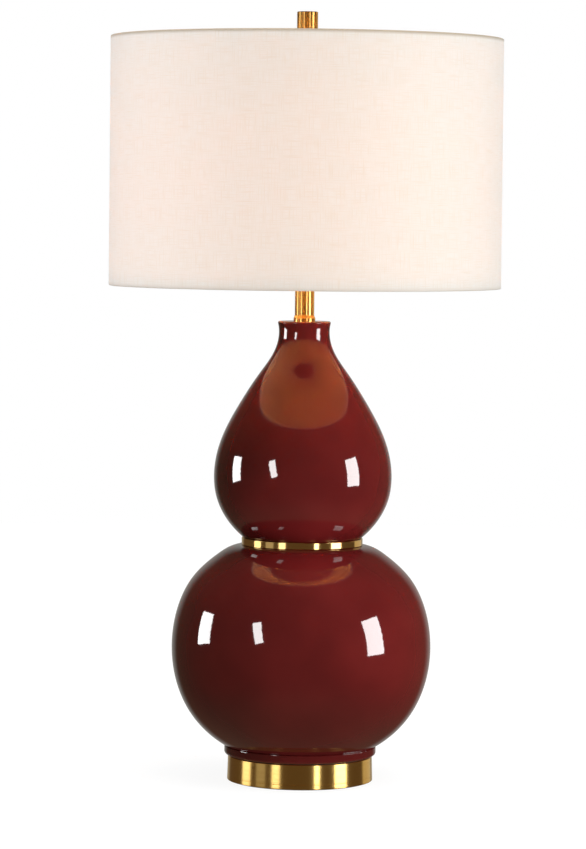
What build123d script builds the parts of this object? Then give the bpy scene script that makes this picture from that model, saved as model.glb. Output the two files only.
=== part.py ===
from build123d import *
import os
from math import cos, pi, radians, sin

# Double gourd table lamp: a brass foot drum, two glazed ceramic gourds clamped on a
# threaded rod with a brass band at the waist, a brass neck tube, a lamp socket with
# a turn switch, a wire harp and a linen drum shade held by a cylindrical finial.
# Millimetres, +Z up, origin on the table below the middle of the lamp.
# The front of the lamp faces -Y and the cord outlet is at the back, at +Y.

os.makedirs("parts", exist_ok=True)

# ---------------------------------------------------------------- clearances
thread_clearance = 0.05      # a screwed piece on its thread, radial
running_clearance = 0.05     # a turning or sliding fit, radial
slip_clearance = 0.3         # a hole that only passes over the rod, radial
seat_clearance = 0.1         # axial play of a piece that turns between two seats

# ---------------------------------------------------------------- foot
felt_diameter = 140.0
felt_thickness = 1.0
drum_bottom_diameter = 146.6
drum_top_diameter = 145.2
drum_height = 24.4
drum_wall = 1.2
drum_flange_width = 6.5      # the rim turned in under the drum, which the felt is glued to
drum_edge_radius = 0.8
weight_diameter = 124.0
weight_thickness = 14.7
weight_pocket_diameter = 32.0
weight_pocket_depth = 6.0
cord_channel_width = 9.0
cord_channel_depth = 5.0
gasket_diameter = 141.0
gasket_width = 10.0
gasket_thickness = 1.2

# ---------------------------------------------------------------- cord outlet
bushing_height = 11.0        # middle of the outlet above the table
bushing_bore = 7.0
bushing_barrel = 11.6
bushing_flange = 15.0
bushing_flange_thickness = 1.6
bushing_lip = 12.8
bushing_lip_thickness = 2.2

# ---------------------------------------------------------------- rod and its nuts
rod_diameter = 9.7
rod_bore = 6.9
rod_below_nut = 1.5
rod_short_of_neck = 1.0          # the rod ends this far under the top of the cap's neck
washer_diameter = 25.0
washer_thickness = 1.6
lock_washer_diameter = 17.4
lock_washer_thickness = 2.0
lock_washer_gap = 2.0
nut_across_flats = 15.9
nut_thickness = 4.8
locknut_across_flats = 14.3
locknut_thickness = 3.2

# ---------------------------------------------------------------- ceramic gourds
ceramic_wall = 7.0
lower_gourd_height = 211.4
lower_belly_diameter = 260.9
lower_shoulder_diameter = 123.2   # the flat that the waist band stands on
collar_diameter = 152.8
collar_height = 8.8
collar_lip = 1.0                  # the collar's step out from the end of the belly
foot_round = 3.0
foot_ring_width = 15.0
foot_recess = 4.0
lower_floor_thickness = 8.0
upper_gourd_height = 218.0
upper_belly_diameter = 179.0
upper_base_diameter = 118.6       # the flat that stands on the waist band
throat_diameter = 51.0
throat_depth = 12.5
mouth_diameter = 53.2
mouth_round = 1.6
deck_thickness = 8.0
waist_bore_diameter = 100.0       # the open mouths that face each other at the waist
rod_hole_diameter = 14.0          # the drilled holes of both gourds

# The belly outlines, from the waist down and from the waist up. Each pair is a share
# of the belly's radius and a share of the gourd's height from its end at the waist.
lower_outline = (
    (0.585, 0.021), (0.653, 0.049), (0.847, 0.163), (0.962, 0.314),
    (1.000, 0.478), (0.953, 0.674), (0.848, 0.807), (0.741, 0.884),
)
upper_outline = (
    (0.824, 0.068), (0.966, 0.180), (1.000, 0.286), (0.930, 0.443),
    (0.727, 0.612), (0.492, 0.762), (0.322, 0.874),
)
wall_samples = 16                 # points that carry the inner surface along the outer

# ---------------------------------------------------------------- waist band
band_diameter = 122.0
band_height = 7.4
band_edge_round = 0.8
spigot_height = 5.0
spigot_wall = 2.6
spigot_clearance = 0.3

# ---------------------------------------------------------------- neck tube
tube_diameter = 19.5
tube_wall = 1.0
tube_height = 37.6
tube_foot_diameter = 21.8
tube_foot_height = 2.6
tube_foot_rise = 4.0              # where the swaged foot runs out into the tube
bush_flange_thickness = 1.2
bush_spigot_depth = 4.0
bush_clearance = 0.1

# ---------------------------------------------------------------- harp
saddle_width = 12.0
saddle_thickness = 1.6
saddle_flat = 44.0                # width of the flat that is clamped on the tube
saddle_rise = 25.0                # from its underside to the tops of its tabs
saddle_bend_radius = 6.0
tab_width = 6.0
tab_length = 11.0
harp_leg_spacing = 72.0
harp_leg_straight = 30.0
harp_belly_width = 114.0
harp_belly_low = 75.0             # heights above the tabs where the wire stands widest
harp_belly_high = 140.0
harp_top_width = 70.0
harp_height = 197.0
harp_wire = 3.0
harp_leg_bend = 30.0
harp_low_bend = 60.0
harp_high_bend = 45.0
harp_top_bend = 22.0
ferrule_diameter = 9.2
ferrule_length = 15.0
ferrule_pocket_clearance = 0.3
stud_block_diameter = 9.0
stud_seat_diameter = 16.0
stud_seat_thickness = 2.0
stud_diameter = 6.3
stud_length = 16.8

# ---------------------------------------------------------------- socket
socket_gap = 0.3                  # between the locknut and the cap above it
cap_neck_diameter = 14.6
cap_neck_height = 9.0
cap_height = 23.0
cap_diameter = 34.0
cap_wall = 0.8
cap_shoulder = 1.6                # how far the cap's shoulder rounds in and up
screw_slot_width = 0.9            # the driver slots of the set screw and terminal screws
screw_slot_depth = 0.9
set_screw_diameter = 3.0
set_screw_head = 5.0
set_screw_head_thickness = 1.8
shell_wall = 0.6
shell_height = 46.0
shell_overlap = 10.0              # how far the shell stands inside the cap
insulator_wall = 0.5
insulator_inset = 2.0             # the paper liner ends this far inside the shell
core_height = 20.0
core_rim_height = 2.8             # the core is fully round above its flats
core_flat_spacing = 21.0          # across the flats that carry the terminal screws
terminal_head = 6.0
terminal_head_thickness = 1.8
terminal_shank = 3.4
terminal_shank_length = 4.0
screw_shell_bore = 26.8
screw_shell_wall = 0.4
screw_shell_height = 19.5
screw_shell_floor_bore = 14.0     # the floor is open round the centre contact
contact_diameter = 6.0
contact_height = 1.8
contact_round = 0.6
stem_diameter = 4.0
stem_length = 22.0
stem_start = 3.5                  # distance of the stem's inner end from the lamp's axis
stem_height_in_core = 11.0        # the stem's axis above the core's underside
stem_hole_clearance = 1.0
knob_diameter = 13.0
knob_length = 14.0
knob_overlap = 6.0                # how far the stem stands in the knob
knob_flutes = 12
knob_flute_diameter = 1.8
knob_edge = 0.8

# ---------------------------------------------------------------- bulb
bulb_gap = 0.3                    # between the bulb's tip and the socket's contact
bulb_tip_diameter = 8.0
bulb_tip_height = 1.6
bulb_tip_round = 0.8
bulb_cone_height = 4.0
bulb_cone_tip_diameter = 9.2      # the black glass cone where it meets the tip
bulb_cap_diameter = 26.2
bulb_cap_height = 19.0
bulb_cap_wall = 0.6
bulb_cap_chamfer = 1.2
bulb_cap_engagement = 1.2         # how far the glass neck stands in the cap
bulb_neck_straight = 2.4
bulb_shoulder_angle = 28.0        # degrees under the globe's equator where the neck leaves it
bulb_length = 108.0
bulb_globe_diameter = 60.0
bulb_glass_wall = 1.0

# ---------------------------------------------------------------- shade and finial
shade_diameter = 394.0
shade_height = 250.0
fabric_thickness = 0.7
hem_height = 10.0
hem_clearance = 0.3
liner_thickness = 0.5
liner_inset = 0.9
ring_wire = 3.0
spider_hub_diameter = 26.0
spider_hub_thickness = 1.5
spider_drop = 15.0                # from the top ring's middle down to the hub's top
spider_weld = 0.3                 # how deep the arms are welded into the hub
spider_arms = 3
spider_arm_start = 11.6
spider_knee_inner = 42.0
spider_knee_outer = 62.0
spider_bend_radius = 14.0
finial_diameter = 21.0
finial_length = 43.0
finial_edge = 0.5
finial_bore_depth = 18.0

# ---------------------------------------------------------------- levels, from the table up
drum_bottom = felt_thickness
drum_top = drum_bottom + drum_height
weight_top = drum_top - drum_wall
weight_bottom = weight_top - weight_thickness
pocket_top = weight_bottom + weight_pocket_depth
washer_bottom = pocket_top - washer_thickness
lock_washer_bottom = washer_bottom - lock_washer_thickness
nut_bottom = lock_washer_bottom - nut_thickness
rod_bottom = nut_bottom - rod_below_nut
lower_bottom = drum_top + gasket_thickness
lower_top = lower_bottom + lower_gourd_height
band_top = lower_top + band_height
deck_top = band_top + upper_gourd_height
tube_top = deck_top + tube_height
saddle_bottom = tube_top + bush_flange_thickness
locknut_bottom = saddle_bottom + saddle_thickness
locknut_top = locknut_bottom + locknut_thickness
tab_top = saddle_bottom + saddle_rise
tab_bottom = tab_top - tab_length
harp_top = tab_top + harp_height
stud_seat_top = harp_top + harp_wire + stud_seat_thickness
hub_bottom = stud_seat_top + seat_clearance
hub_top = hub_bottom + spider_hub_thickness
finial_bottom = hub_top + seat_clearance
finial_top = finial_bottom + finial_length
top_ring_height = hub_top + spider_drop
shade_top = top_ring_height + ring_wire / 2 + fabric_thickness
shade_bottom = shade_top - shade_height
bottom_ring_height = shade_bottom + fabric_thickness + ring_wire / 2
cap_bottom = locknut_top + socket_gap
cap_neck_top = cap_bottom + cap_neck_height
rod_top = cap_neck_top - rod_short_of_neck
cap_top = cap_bottom + cap_height
shell_bottom = cap_top - shell_overlap
shell_top = shell_bottom + shell_height
core_bottom = shell_bottom + insulator_inset
core_top = core_bottom + core_height
stem_height = core_bottom + stem_height_in_core
contact_top = core_top + contact_height
bulb_bottom = contact_top + bulb_gap
bulb_tip_top = bulb_bottom + bulb_tip_height
bulb_cone_top = bulb_tip_top + bulb_cone_height
bulb_cap_top = bulb_cone_top + bulb_cap_height
bulb_top = bulb_bottom + bulb_length

# ---------------------------------------------------------------- radii that follow
rod_radius = rod_diameter / 2
shell_radius = cap_diameter / 2 - cap_wall - running_clearance
insulator_radius = shell_radius - shell_wall
core_radius = insulator_radius - insulator_wall
fabric_inner = shade_diameter / 2 - fabric_thickness
liner_inner = fabric_inner - liner_thickness
ring_radius = liner_inner - hem_clearance - ring_wire / 2
hem_outer = ring_radius - ring_wire / 2
hem_inner = hem_outer - fabric_thickness


def drum_radius(height):
    """Return the foot drum's outer radius at a height above the table."""
    slope = (drum_top_diameter - drum_bottom_diameter) / 2 / drum_height
    return drum_bottom_diameter / 2 + slope * (height - drum_bottom)


def disc(bottom, height, diameter, bore=0.0):
    """Add a round plate with an optional bore on the lamp's axis."""
    with BuildSketch(Plane.XY.offset(bottom)) as outline:
        Circle(diameter / 2)
        if bore > 0:
            Circle(bore / 2, mode=Mode.SUBTRACT)
    extrude(outline.sketch, amount=height)


def hexagon(bottom, height, across_flats, bore):
    """Add a hexagonal nut with a bore on the lamp's axis."""
    with BuildSketch(Plane.XY.offset(bottom)) as outline:
        RegularPolygon(across_flats / 2, side_count=6, major_radius=False)
        Circle(bore / 2, mode=Mode.SUBTRACT)
    extrude(outline.sketch, amount=height)


def turned(points):
    """Add the solid that a closed (radius, height) outline makes round the axis."""
    with BuildSketch(Plane.XZ) as outline:
        with BuildLine():
            Polyline(*points, close=True)
        make_face()
    revolve(outline.sketch, axis=Axis.Z)


def beside(outline, distance):
    """Return points that run along an outline, at a distance to its right-hand side."""
    points = []
    for index in range(wall_samples + 1):
        place = outline.position_at(index / wall_samples)
        along = outline.tangent_at(index / wall_samples)
        points.append((place.X + along.Y * distance, place.Y - along.X * distance))
    return points


# ================================================================ foot
with BuildPart() as felt_pad:
    disc(0, felt_thickness, felt_diameter)
felt_pad.part.label = "felt_pad"
export_step(felt_pad.part, "parts/felt_pad.step")

with BuildPart() as base_drum:
    turned((
        (drum_radius(drum_bottom) - drum_flange_width, drum_bottom),
        (drum_radius(drum_bottom), drum_bottom),
        (drum_radius(drum_top), drum_top),
        (rod_radius + slip_clearance, drum_top),
        (rod_radius + slip_clearance, weight_top),
        (drum_radius(weight_top) - drum_wall, weight_top),
        (drum_radius(drum_bottom + drum_wall) - drum_wall, drum_bottom + drum_wall),
        (drum_radius(drum_bottom) - drum_flange_width, drum_bottom + drum_wall),
    ))
    top_edge = base_drum.edges().filter_by(GeomType.CIRCLE).filter_by(
        lambda edge: edge.radius > drum_radius(drum_top) - drum_wall / 2
    ).sort_by(Axis.Z)[-1]
    fillet(top_edge, radius=drum_edge_radius)
    with BuildSketch(Plane(origin=(0, 0, bushing_height), z_dir=(0, 1, 0))):
        Circle(bushing_barrel / 2 + running_clearance)
    extrude(amount=drum_bottom_diameter, mode=Mode.SUBTRACT)
base_drum.part.label = "base_drum"
export_step(base_drum.part, "parts/base_drum.step")

with BuildPart() as base_weight:
    disc(weight_bottom, weight_thickness, weight_diameter, rod_diameter + 2 * slip_clearance)
    with BuildSketch(Plane.XY.offset(weight_bottom)):
        Circle(weight_pocket_diameter / 2)
    extrude(amount=weight_pocket_depth, mode=Mode.SUBTRACT)
    with BuildSketch(Plane.XY.offset(weight_bottom)):
        with Locations((0, weight_diameter / 2)):
            Rectangle(cord_channel_width, weight_diameter)
    extrude(amount=cord_channel_depth, mode=Mode.SUBTRACT)
base_weight.part.label = "base_weight"
export_step(base_weight.part, "parts/base_weight.step")

with BuildPart() as rod_washer:
    disc(washer_bottom, washer_thickness, washer_diameter, rod_diameter + 2 * slip_clearance)
rod_washer.part.label = "rod_washer"
export_step(rod_washer.part, "parts/rod_washer.step")

with BuildPart() as rod_lock_washer:
    lock_washer_bore = rod_diameter + 2 * slip_clearance
    disc(lock_washer_bottom, lock_washer_thickness, lock_washer_diameter, lock_washer_bore)
    with BuildSketch(Plane.XY.offset(lock_washer_bottom)):
        with Locations((lock_washer_diameter / 2, 0)):
            Rectangle(lock_washer_diameter, lock_washer_gap)
    extrude(amount=lock_washer_thickness, mode=Mode.SUBTRACT)
rod_lock_washer.part.label = "rod_lock_washer"
export_step(rod_lock_washer.part, "parts/rod_lock_washer.step")

with BuildPart() as rod_nut:
    hexagon(nut_bottom, nut_thickness, nut_across_flats, rod_diameter + 2 * thread_clearance)
rod_nut.part.label = "rod_nut"
export_step(rod_nut.part, "parts/rod_nut.step")

with BuildPart() as foot_gasket:
    disc(drum_top, gasket_thickness, gasket_diameter, gasket_diameter - 2 * gasket_width)
foot_gasket.part.label = "foot_gasket"
export_step(foot_gasket.part, "parts/foot_gasket.step")

# ================================================================ cord outlet
bushing_face = drum_radius(bushing_height - bushing_flange / 2) + running_clearance
wall_inside = drum_radius(bushing_height + bushing_lip / 2) - drum_wall
lip_sagitta = wall_inside - (wall_inside ** 2 - (bushing_lip / 2) ** 2) ** 0.5
lip_outer = wall_inside - lip_sagitta - running_clearance
lip_inner = lip_outer - bushing_lip_thickness
bushing_outer = bushing_face + bushing_flange_thickness

with BuildPart() as cord_bushing:
    with BuildSketch(Plane(origin=(0, lip_inner, bushing_height), z_dir=(0, 1, 0))):
        Circle(bushing_lip / 2)
    extrude(amount=bushing_lip_thickness)
    with BuildSketch(Plane(origin=(0, lip_inner, bushing_height), z_dir=(0, 1, 0))):
        Circle(bushing_barrel / 2)
    extrude(amount=bushing_outer - lip_inner)
    with BuildSketch(Plane(origin=(0, bushing_face, bushing_height), z_dir=(0, 1, 0))):
        Circle(bushing_flange / 2)
    extrude(amount=bushing_flange_thickness)
    fillet(cord_bushing.faces().sort_by(Axis.Y)[-1].edges(), radius=bushing_flange_thickness / 2)
    with BuildSketch(Plane(origin=(0, lip_inner, bushing_height), z_dir=(0, 1, 0))):
        Circle(bushing_bore / 2)
    extrude(amount=bushing_outer - lip_inner, mode=Mode.SUBTRACT)
cord_bushing.part.label = "cord_bushing"
export_step(cord_bushing.part, "parts/cord_bushing.step")

# ================================================================ ceramic gourds
collar_radius = collar_diameter / 2
belly_end = (collar_radius - collar_lip, lower_bottom + collar_height)
lower_points = [(lower_shoulder_diameter / 2, lower_top)]
for share_out, share_down in lower_outline:
    lower_points.append((
        share_out * lower_belly_diameter / 2,
        lower_top - share_down * lower_gourd_height,
    ))
lower_points.append(belly_end)
lower_floor = lower_bottom + foot_recess + lower_floor_thickness

with BuildPart() as lower_gourd:
    with BuildSketch(Plane.XZ):
        with BuildLine():
            belly = Spline(*lower_points)
            RadiusArc(belly @ 1, (collar_radius, belly_end[1] - collar_lip), collar_lip)
            Line((collar_radius, belly_end[1] - collar_lip), (collar_radius, lower_bottom + foot_round))
            RadiusArc(
                (collar_radius, lower_bottom + foot_round),
                (collar_radius - foot_round, lower_bottom),
                foot_round,
            )
            Polyline(
                (collar_radius - foot_round, lower_bottom),
                (0, lower_bottom),
                (0, lower_top),
                belly @ 0,
            )
        make_face()
        wall_points = [
            point for point in beside(belly, ceramic_wall) if point[1] > lower_floor + ceramic_wall
        ]
        with BuildLine():
            cavity = Spline(*wall_points)
            Polyline(
                cavity @ 1,
                (belly_end[0] - 2 * ceramic_wall, lower_floor),
                (0, lower_floor),
                (0, lower_top),
                (waist_bore_diameter / 2, lower_top),
                (waist_bore_diameter / 2, wall_points[0][1]),
                cavity @ 0,
            )
        make_face(mode=Mode.SUBTRACT)
    revolve(axis=Axis.Z)
    with BuildSketch(Plane.XY.offset(lower_bottom)):
        Circle(collar_radius - foot_round - foot_ring_width)
    extrude(amount=foot_recess, mode=Mode.SUBTRACT)
    with BuildSketch(Plane.XY.offset(lower_bottom)):
        Circle(rod_hole_diameter / 2)
    extrude(amount=foot_recess + lower_floor_thickness, mode=Mode.SUBTRACT)
lower_gourd.part.label = "lower_gourd"
export_step(lower_gourd.part, "parts/lower_gourd.step")

upper_points = [(upper_base_diameter / 2, band_top)]
for share_out, share_up in upper_outline:
    upper_points.append((
        share_out * upper_belly_diameter / 2,
        band_top + share_up * upper_gourd_height,
    ))
upper_points.append((throat_diameter / 2, deck_top - throat_depth))
upper_points.append((mouth_diameter / 2, deck_top - mouth_round))
deck_bottom = deck_top - deck_thickness

with BuildPart() as upper_gourd:
    with BuildSketch(Plane.XZ):
        with BuildLine():
            body = Spline(*upper_points)
            RadiusArc(body @ 1, (mouth_diameter / 2 - mouth_round, deck_top), -mouth_round)
            Polyline(
                (mouth_diameter / 2 - mouth_round, deck_top),
                (0, deck_top),
                (0, band_top),
                body @ 0,
            )
        make_face()
        wall_points = [
            point for point in beside(body, -ceramic_wall) if point[1] < deck_bottom - ceramic_wall
        ]
        with BuildLine():
            cavity = Spline(*wall_points)
            Polyline(
                cavity @ 1,
                ((cavity @ 1).X, deck_bottom),
                (0, deck_bottom),
                (0, band_top),
                (waist_bore_diameter / 2, band_top),
                (waist_bore_diameter / 2, wall_points[0][1]),
                cavity @ 0,
            )
        make_face(mode=Mode.SUBTRACT)
    revolve(axis=Axis.Z)
    with BuildSketch(Plane.XY.offset(deck_bottom)):
        Circle(rod_hole_diameter / 2)
    extrude(amount=deck_thickness, mode=Mode.SUBTRACT)
upper_gourd.part.label = "upper_gourd"
export_step(upper_gourd.part, "parts/upper_gourd.step")

# ================================================================ waist band
spigot_radius = waist_bore_diameter / 2 - spigot_clearance
with BuildPart() as waist_band:
    turned((
        (spigot_radius - spigot_wall, lower_top - spigot_height),
        (spigot_radius, lower_top - spigot_height),
        (spigot_radius, lower_top),
        (band_diameter / 2, lower_top),
        (band_diameter / 2, band_top),
        (spigot_radius, band_top),
        (spigot_radius, band_top + spigot_height),
        (spigot_radius - spigot_wall, band_top + spigot_height),
    ))
    rim = waist_band.edges().filter_by(GeomType.CIRCLE).filter_by(
        lambda edge: abs(edge.radius - band_diameter / 2) < band_edge_round / 2
    )
    fillet(rim, radius=band_edge_round)
waist_band.part.label = "waist_band"
export_step(waist_band.part, "parts/waist_band.step")

# ================================================================ rod and neck tube
with BuildPart() as threaded_rod:
    disc(rod_bottom, rod_top - rod_bottom, rod_diameter, rod_bore)
threaded_rod.part.label = "threaded_rod"
export_step(threaded_rod.part, "parts/threaded_rod.step")

tube_radius = tube_diameter / 2
tube_inner = tube_radius - tube_wall
with BuildPart() as neck_tube:
    with BuildSketch(Plane.XZ):
        with BuildLine():
            foot_side = Line(
                (tube_foot_diameter / 2, deck_top), (tube_foot_diameter / 2, deck_top + tube_foot_height)
            )
            swage = Spline(
                foot_side @ 1,
                (tube_radius, deck_top + tube_foot_height + tube_foot_rise),
                tangents=((0, 1), (0, 1)),
            )
            Polyline(
                swage @ 1,
                (tube_radius, tube_top),
                (tube_inner, tube_top),
                (tube_inner, deck_top),
                foot_side @ 0,
            )
        make_face()
    revolve(axis=Axis.Z)
neck_tube.part.label = "neck_tube"
export_step(neck_tube.part, "parts/neck_tube.step")

bush_bore = rod_diameter + 2 * bush_clearance
bush_body = 2 * (tube_inner - bush_clearance)
with BuildPart() as lower_tube_bush:
    disc(deck_top, bush_spigot_depth, bush_body, bush_bore)
    disc(deck_top - bush_spigot_depth, bush_spigot_depth, rod_hole_diameter - 2 * slip_clearance, bush_bore)
lower_tube_bush.part.label = "lower_tube_bush"
export_step(lower_tube_bush.part, "parts/lower_tube_bush.step")

with BuildPart() as upper_tube_bush:
    disc(tube_top - bush_spigot_depth, bush_spigot_depth, bush_body, bush_bore)
    disc(tube_top, bush_flange_thickness, tube_diameter, bush_bore)
upper_tube_bush.part.label = "upper_tube_bush"
export_step(upper_tube_bush.part, "parts/upper_tube_bush.step")

with BuildPart() as top_locknut:
    hexagon(locknut_bottom, locknut_thickness, locknut_across_flats, rod_diameter + 2 * thread_clearance)
top_locknut.part.label = "top_locknut"
export_step(top_locknut.part, "parts/top_locknut.step")

# ================================================================ harp
leg = harp_leg_spacing / 2
strap_middle = saddle_bottom + saddle_thickness / 2
with BuildPart() as harp_saddle:
    with BuildLine(Plane.XZ):
        FilletPolyline(
            (-leg, tab_top),
            (-leg, strap_middle + (tab_bottom - strap_middle) / 2),
            (-saddle_flat / 2, strap_middle),
            (saddle_flat / 2, strap_middle),
            (leg, strap_middle + (tab_bottom - strap_middle) / 2),
            (leg, tab_top),
            radius=saddle_bend_radius,
        )
    with BuildSketch(Plane(origin=(-leg, 0, tab_top), x_dir=(1, 0, 0), z_dir=(0, 0, -1))):
        Rectangle(saddle_thickness, saddle_width)
    sweep()
    with BuildSketch(Plane.XY.offset(saddle_bottom)):
        Circle(rod_radius + slip_clearance)
    extrude(amount=saddle_thickness, mode=Mode.SUBTRACT)
    shoulder = (saddle_width - tab_width) / 2
    notch_reach = 4 * saddle_thickness
    with BuildSketch(Plane.XY.offset(tab_bottom)):
        for side in (-1, 1):
            with GridLocations(harp_leg_spacing, 1, 2, 1):
                with Locations((0, side * (tab_width + shoulder) / 2)):
                    Rectangle(notch_reach, shoulder)
    extrude(amount=tab_length, mode=Mode.SUBTRACT)
harp_saddle.part.label = "harp_saddle"
export_step(harp_saddle.part, "parts/harp_saddle.step")

belly_half = harp_belly_width / 2
top_half = harp_top_width / 2
with BuildPart() as harp_bow:
    with BuildLine(Plane.XZ):
        FilletPolyline(
            (-leg, tab_top),
            (-leg, tab_top + harp_leg_straight),
            (-belly_half, tab_top + harp_belly_low),
            (-belly_half, tab_top + harp_belly_high),
            (-top_half, harp_top),
            (top_half, harp_top),
            (belly_half, tab_top + harp_belly_high),
            (belly_half, tab_top + harp_belly_low),
            (leg, tab_top + harp_leg_straight),
            (leg, tab_top),
            radius=(
                harp_leg_bend, harp_low_bend, harp_high_bend, harp_top_bend,
                harp_top_bend, harp_high_bend, harp_low_bend, harp_leg_bend,
            ),
        )
    with BuildSketch(Plane.XY.offset(tab_top)):
        with Locations((-leg, 0)):
            Circle(harp_wire / 2)
    sweep()
harp_bow.part.label = "harp_bow"
export_step(harp_bow.part, "parts/harp_bow.step")

pocket_width = tab_width + 2 * ferrule_pocket_clearance
pocket_thickness = saddle_thickness + 2 * ferrule_pocket_clearance
pocket_depth = tab_length + ferrule_pocket_clearance
for side_name, side in (("left", -1), ("right", 1)):
    with BuildPart() as harp_ferrule:
        with BuildSketch(Plane.XY.offset(tab_bottom + running_clearance)):
            with Locations((side * leg, 0)):
                Circle(ferrule_diameter / 2)
                Circle(harp_wire / 2 + running_clearance, mode=Mode.SUBTRACT)
        extrude(amount=ferrule_length)
        with BuildSketch(Plane.XY.offset(tab_bottom + running_clearance)):
            with Locations((side * leg, 0)):
                Rectangle(pocket_thickness, pocket_width)
        extrude(amount=pocket_depth, mode=Mode.SUBTRACT)
    harp_ferrule.part.label = f"harp_ferrule_{side_name}"
    export_step(harp_ferrule.part, f"parts/harp_ferrule_{side_name}.step")

with BuildPart() as harp_stud:
    disc(harp_top - harp_wire, 2 * harp_wire, stud_block_diameter)
    disc(harp_top + harp_wire, stud_seat_thickness, stud_seat_diameter)
    disc(stud_seat_top, stud_length, stud_diameter)
    chamfer(harp_stud.faces().sort_by(Axis.Z)[-1].edges(), length=finial_edge)
    with BuildSketch(Plane(origin=(-stud_seat_diameter, 0, harp_top), z_dir=(1, 0, 0))):
        Circle(harp_wire / 2 + running_clearance)
    extrude(amount=2 * stud_seat_diameter, mode=Mode.SUBTRACT)
harp_stud.part.label = "harp_stud"
export_step(harp_stud.part, "parts/harp_stud.step")

# ================================================================ socket
cap_radius = cap_diameter / 2
with BuildPart() as socket_cap:
    turned((
        (rod_radius + thread_clearance, cap_bottom),
        (cap_neck_diameter / 2, cap_bottom),
        (cap_neck_diameter / 2, cap_neck_top),
        (cap_radius - cap_shoulder, cap_neck_top + cap_shoulder),
        (cap_radius, cap_neck_top + 2 * cap_shoulder),
        (cap_radius, cap_top),
        (cap_radius - cap_wall, cap_top),
        (cap_radius - cap_wall, cap_neck_top + 2 * cap_shoulder + cap_wall),
        (cap_radius - cap_shoulder - cap_wall, cap_neck_top + cap_shoulder + cap_wall),
        (rod_radius + thread_clearance, cap_neck_top + cap_wall),
    ))
    with BuildSketch(Plane(origin=(0, 0, cap_bottom + cap_neck_height / 2), z_dir=(1, 0, 0))):
        Circle(set_screw_diameter / 2 + thread_clearance)
    extrude(amount=cap_neck_diameter, mode=Mode.SUBTRACT)
socket_cap.part.label = "socket_cap"
export_step(socket_cap.part, "parts/socket_cap.step")

with BuildPart() as cap_set_screw:
    screw_start = rod_radius + thread_clearance
    screw_height = cap_bottom + cap_neck_height / 2
    with BuildSketch(Plane(origin=(screw_start, 0, screw_height), z_dir=(1, 0, 0))):
        Circle(set_screw_diameter / 2)
    extrude(amount=cap_neck_diameter / 2 - screw_start + thread_clearance)
    head_start = cap_neck_diameter / 2 + thread_clearance
    with BuildSketch(Plane(origin=(head_start, 0, screw_height), z_dir=(1, 0, 0))):
        Circle(set_screw_head / 2)
    extrude(amount=set_screw_head_thickness)
    slot_start = head_start + set_screw_head_thickness - screw_slot_depth
    with BuildSketch(Plane(origin=(slot_start, 0, screw_height), z_dir=(1, 0, 0))):
        Rectangle(screw_slot_width, set_screw_head)
    extrude(amount=screw_slot_depth, mode=Mode.SUBTRACT)
cap_set_screw.part.label = "cap_set_screw"
export_step(cap_set_screw.part, "parts/cap_set_screw.step")

stem_hole = stem_diameter / 2 + stem_hole_clearance
with BuildPart() as socket_shell:
    disc(shell_bottom, shell_height, 2 * shell_radius, 2 * insulator_radius)
    with BuildSketch(Plane(origin=(0, 0, stem_height), z_dir=(0, -1, 0))):
        Circle(stem_hole)
    extrude(amount=cap_diameter, mode=Mode.SUBTRACT)
socket_shell.part.label = "socket_shell"
export_step(socket_shell.part, "parts/socket_shell.step")

with BuildPart() as socket_insulator:
    disc(core_bottom, shell_height - 2 * insulator_inset, 2 * insulator_radius, 2 * core_radius)
    with BuildSketch(Plane(origin=(0, 0, stem_height), z_dir=(0, -1, 0))):
        Circle(stem_hole)
    extrude(amount=cap_diameter, mode=Mode.SUBTRACT)
socket_insulator.part.label = "socket_insulator"
export_step(socket_insulator.part, "parts/socket_insulator.step")

terminal_height = core_bottom + core_height / 2
flat_depth = core_radius - core_flat_spacing / 2
with BuildPart() as socket_core:
    disc(core_bottom, core_height, 2 * core_radius)
    with BuildSketch(Plane.XY.offset(core_bottom)):
        with GridLocations(core_flat_spacing + flat_depth, 1, 2, 1):
            Rectangle(flat_depth, 2 * core_radius)
    extrude(amount=core_height - core_rim_height, mode=Mode.SUBTRACT)
    with BuildSketch(Plane(origin=(-core_radius, 0, terminal_height), z_dir=(1, 0, 0))):
        Circle(terminal_shank / 2 + thread_clearance)
    extrude(amount=core_radius - core_flat_spacing / 2 + terminal_shank_length, mode=Mode.SUBTRACT)
    with BuildSketch(Plane(origin=(core_radius, 0, terminal_height), z_dir=(-1, 0, 0))):
        Circle(terminal_shank / 2 + thread_clearance)
    extrude(amount=core_radius - core_flat_spacing / 2 + terminal_shank_length, mode=Mode.SUBTRACT)
    with BuildSketch(Plane(origin=(0, -stem_start, stem_height), z_dir=(0, -1, 0))):
        Circle(stem_diameter / 2 + running_clearance)
    extrude(amount=core_radius, mode=Mode.SUBTRACT)
socket_core.part.label = "socket_core"
export_step(socket_core.part, "parts/socket_core.step")

with BuildPart() as terminal_screws:
    for side in (-1, 1):
        flat = side * core_flat_spacing / 2
        with BuildSketch(Plane(origin=(flat, 0, terminal_height), z_dir=(side, 0, 0))):
            Circle(terminal_head / 2)
        extrude(amount=terminal_head_thickness)
        with BuildSketch(Plane(origin=(flat, 0, terminal_height), z_dir=(-side, 0, 0))):
            Circle(terminal_shank / 2)
        extrude(amount=terminal_shank_length - thread_clearance)
        slot = flat + side * (terminal_head_thickness - screw_slot_depth)
        with BuildSketch(Plane(origin=(slot, 0, terminal_height), z_dir=(side, 0, 0))):
            Rectangle(terminal_head, screw_slot_width)
        extrude(amount=screw_slot_depth, mode=Mode.SUBTRACT)
terminal_screws.part.label = "terminal_screws"
export_step(terminal_screws.part, "parts/terminal_screws.step")

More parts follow.
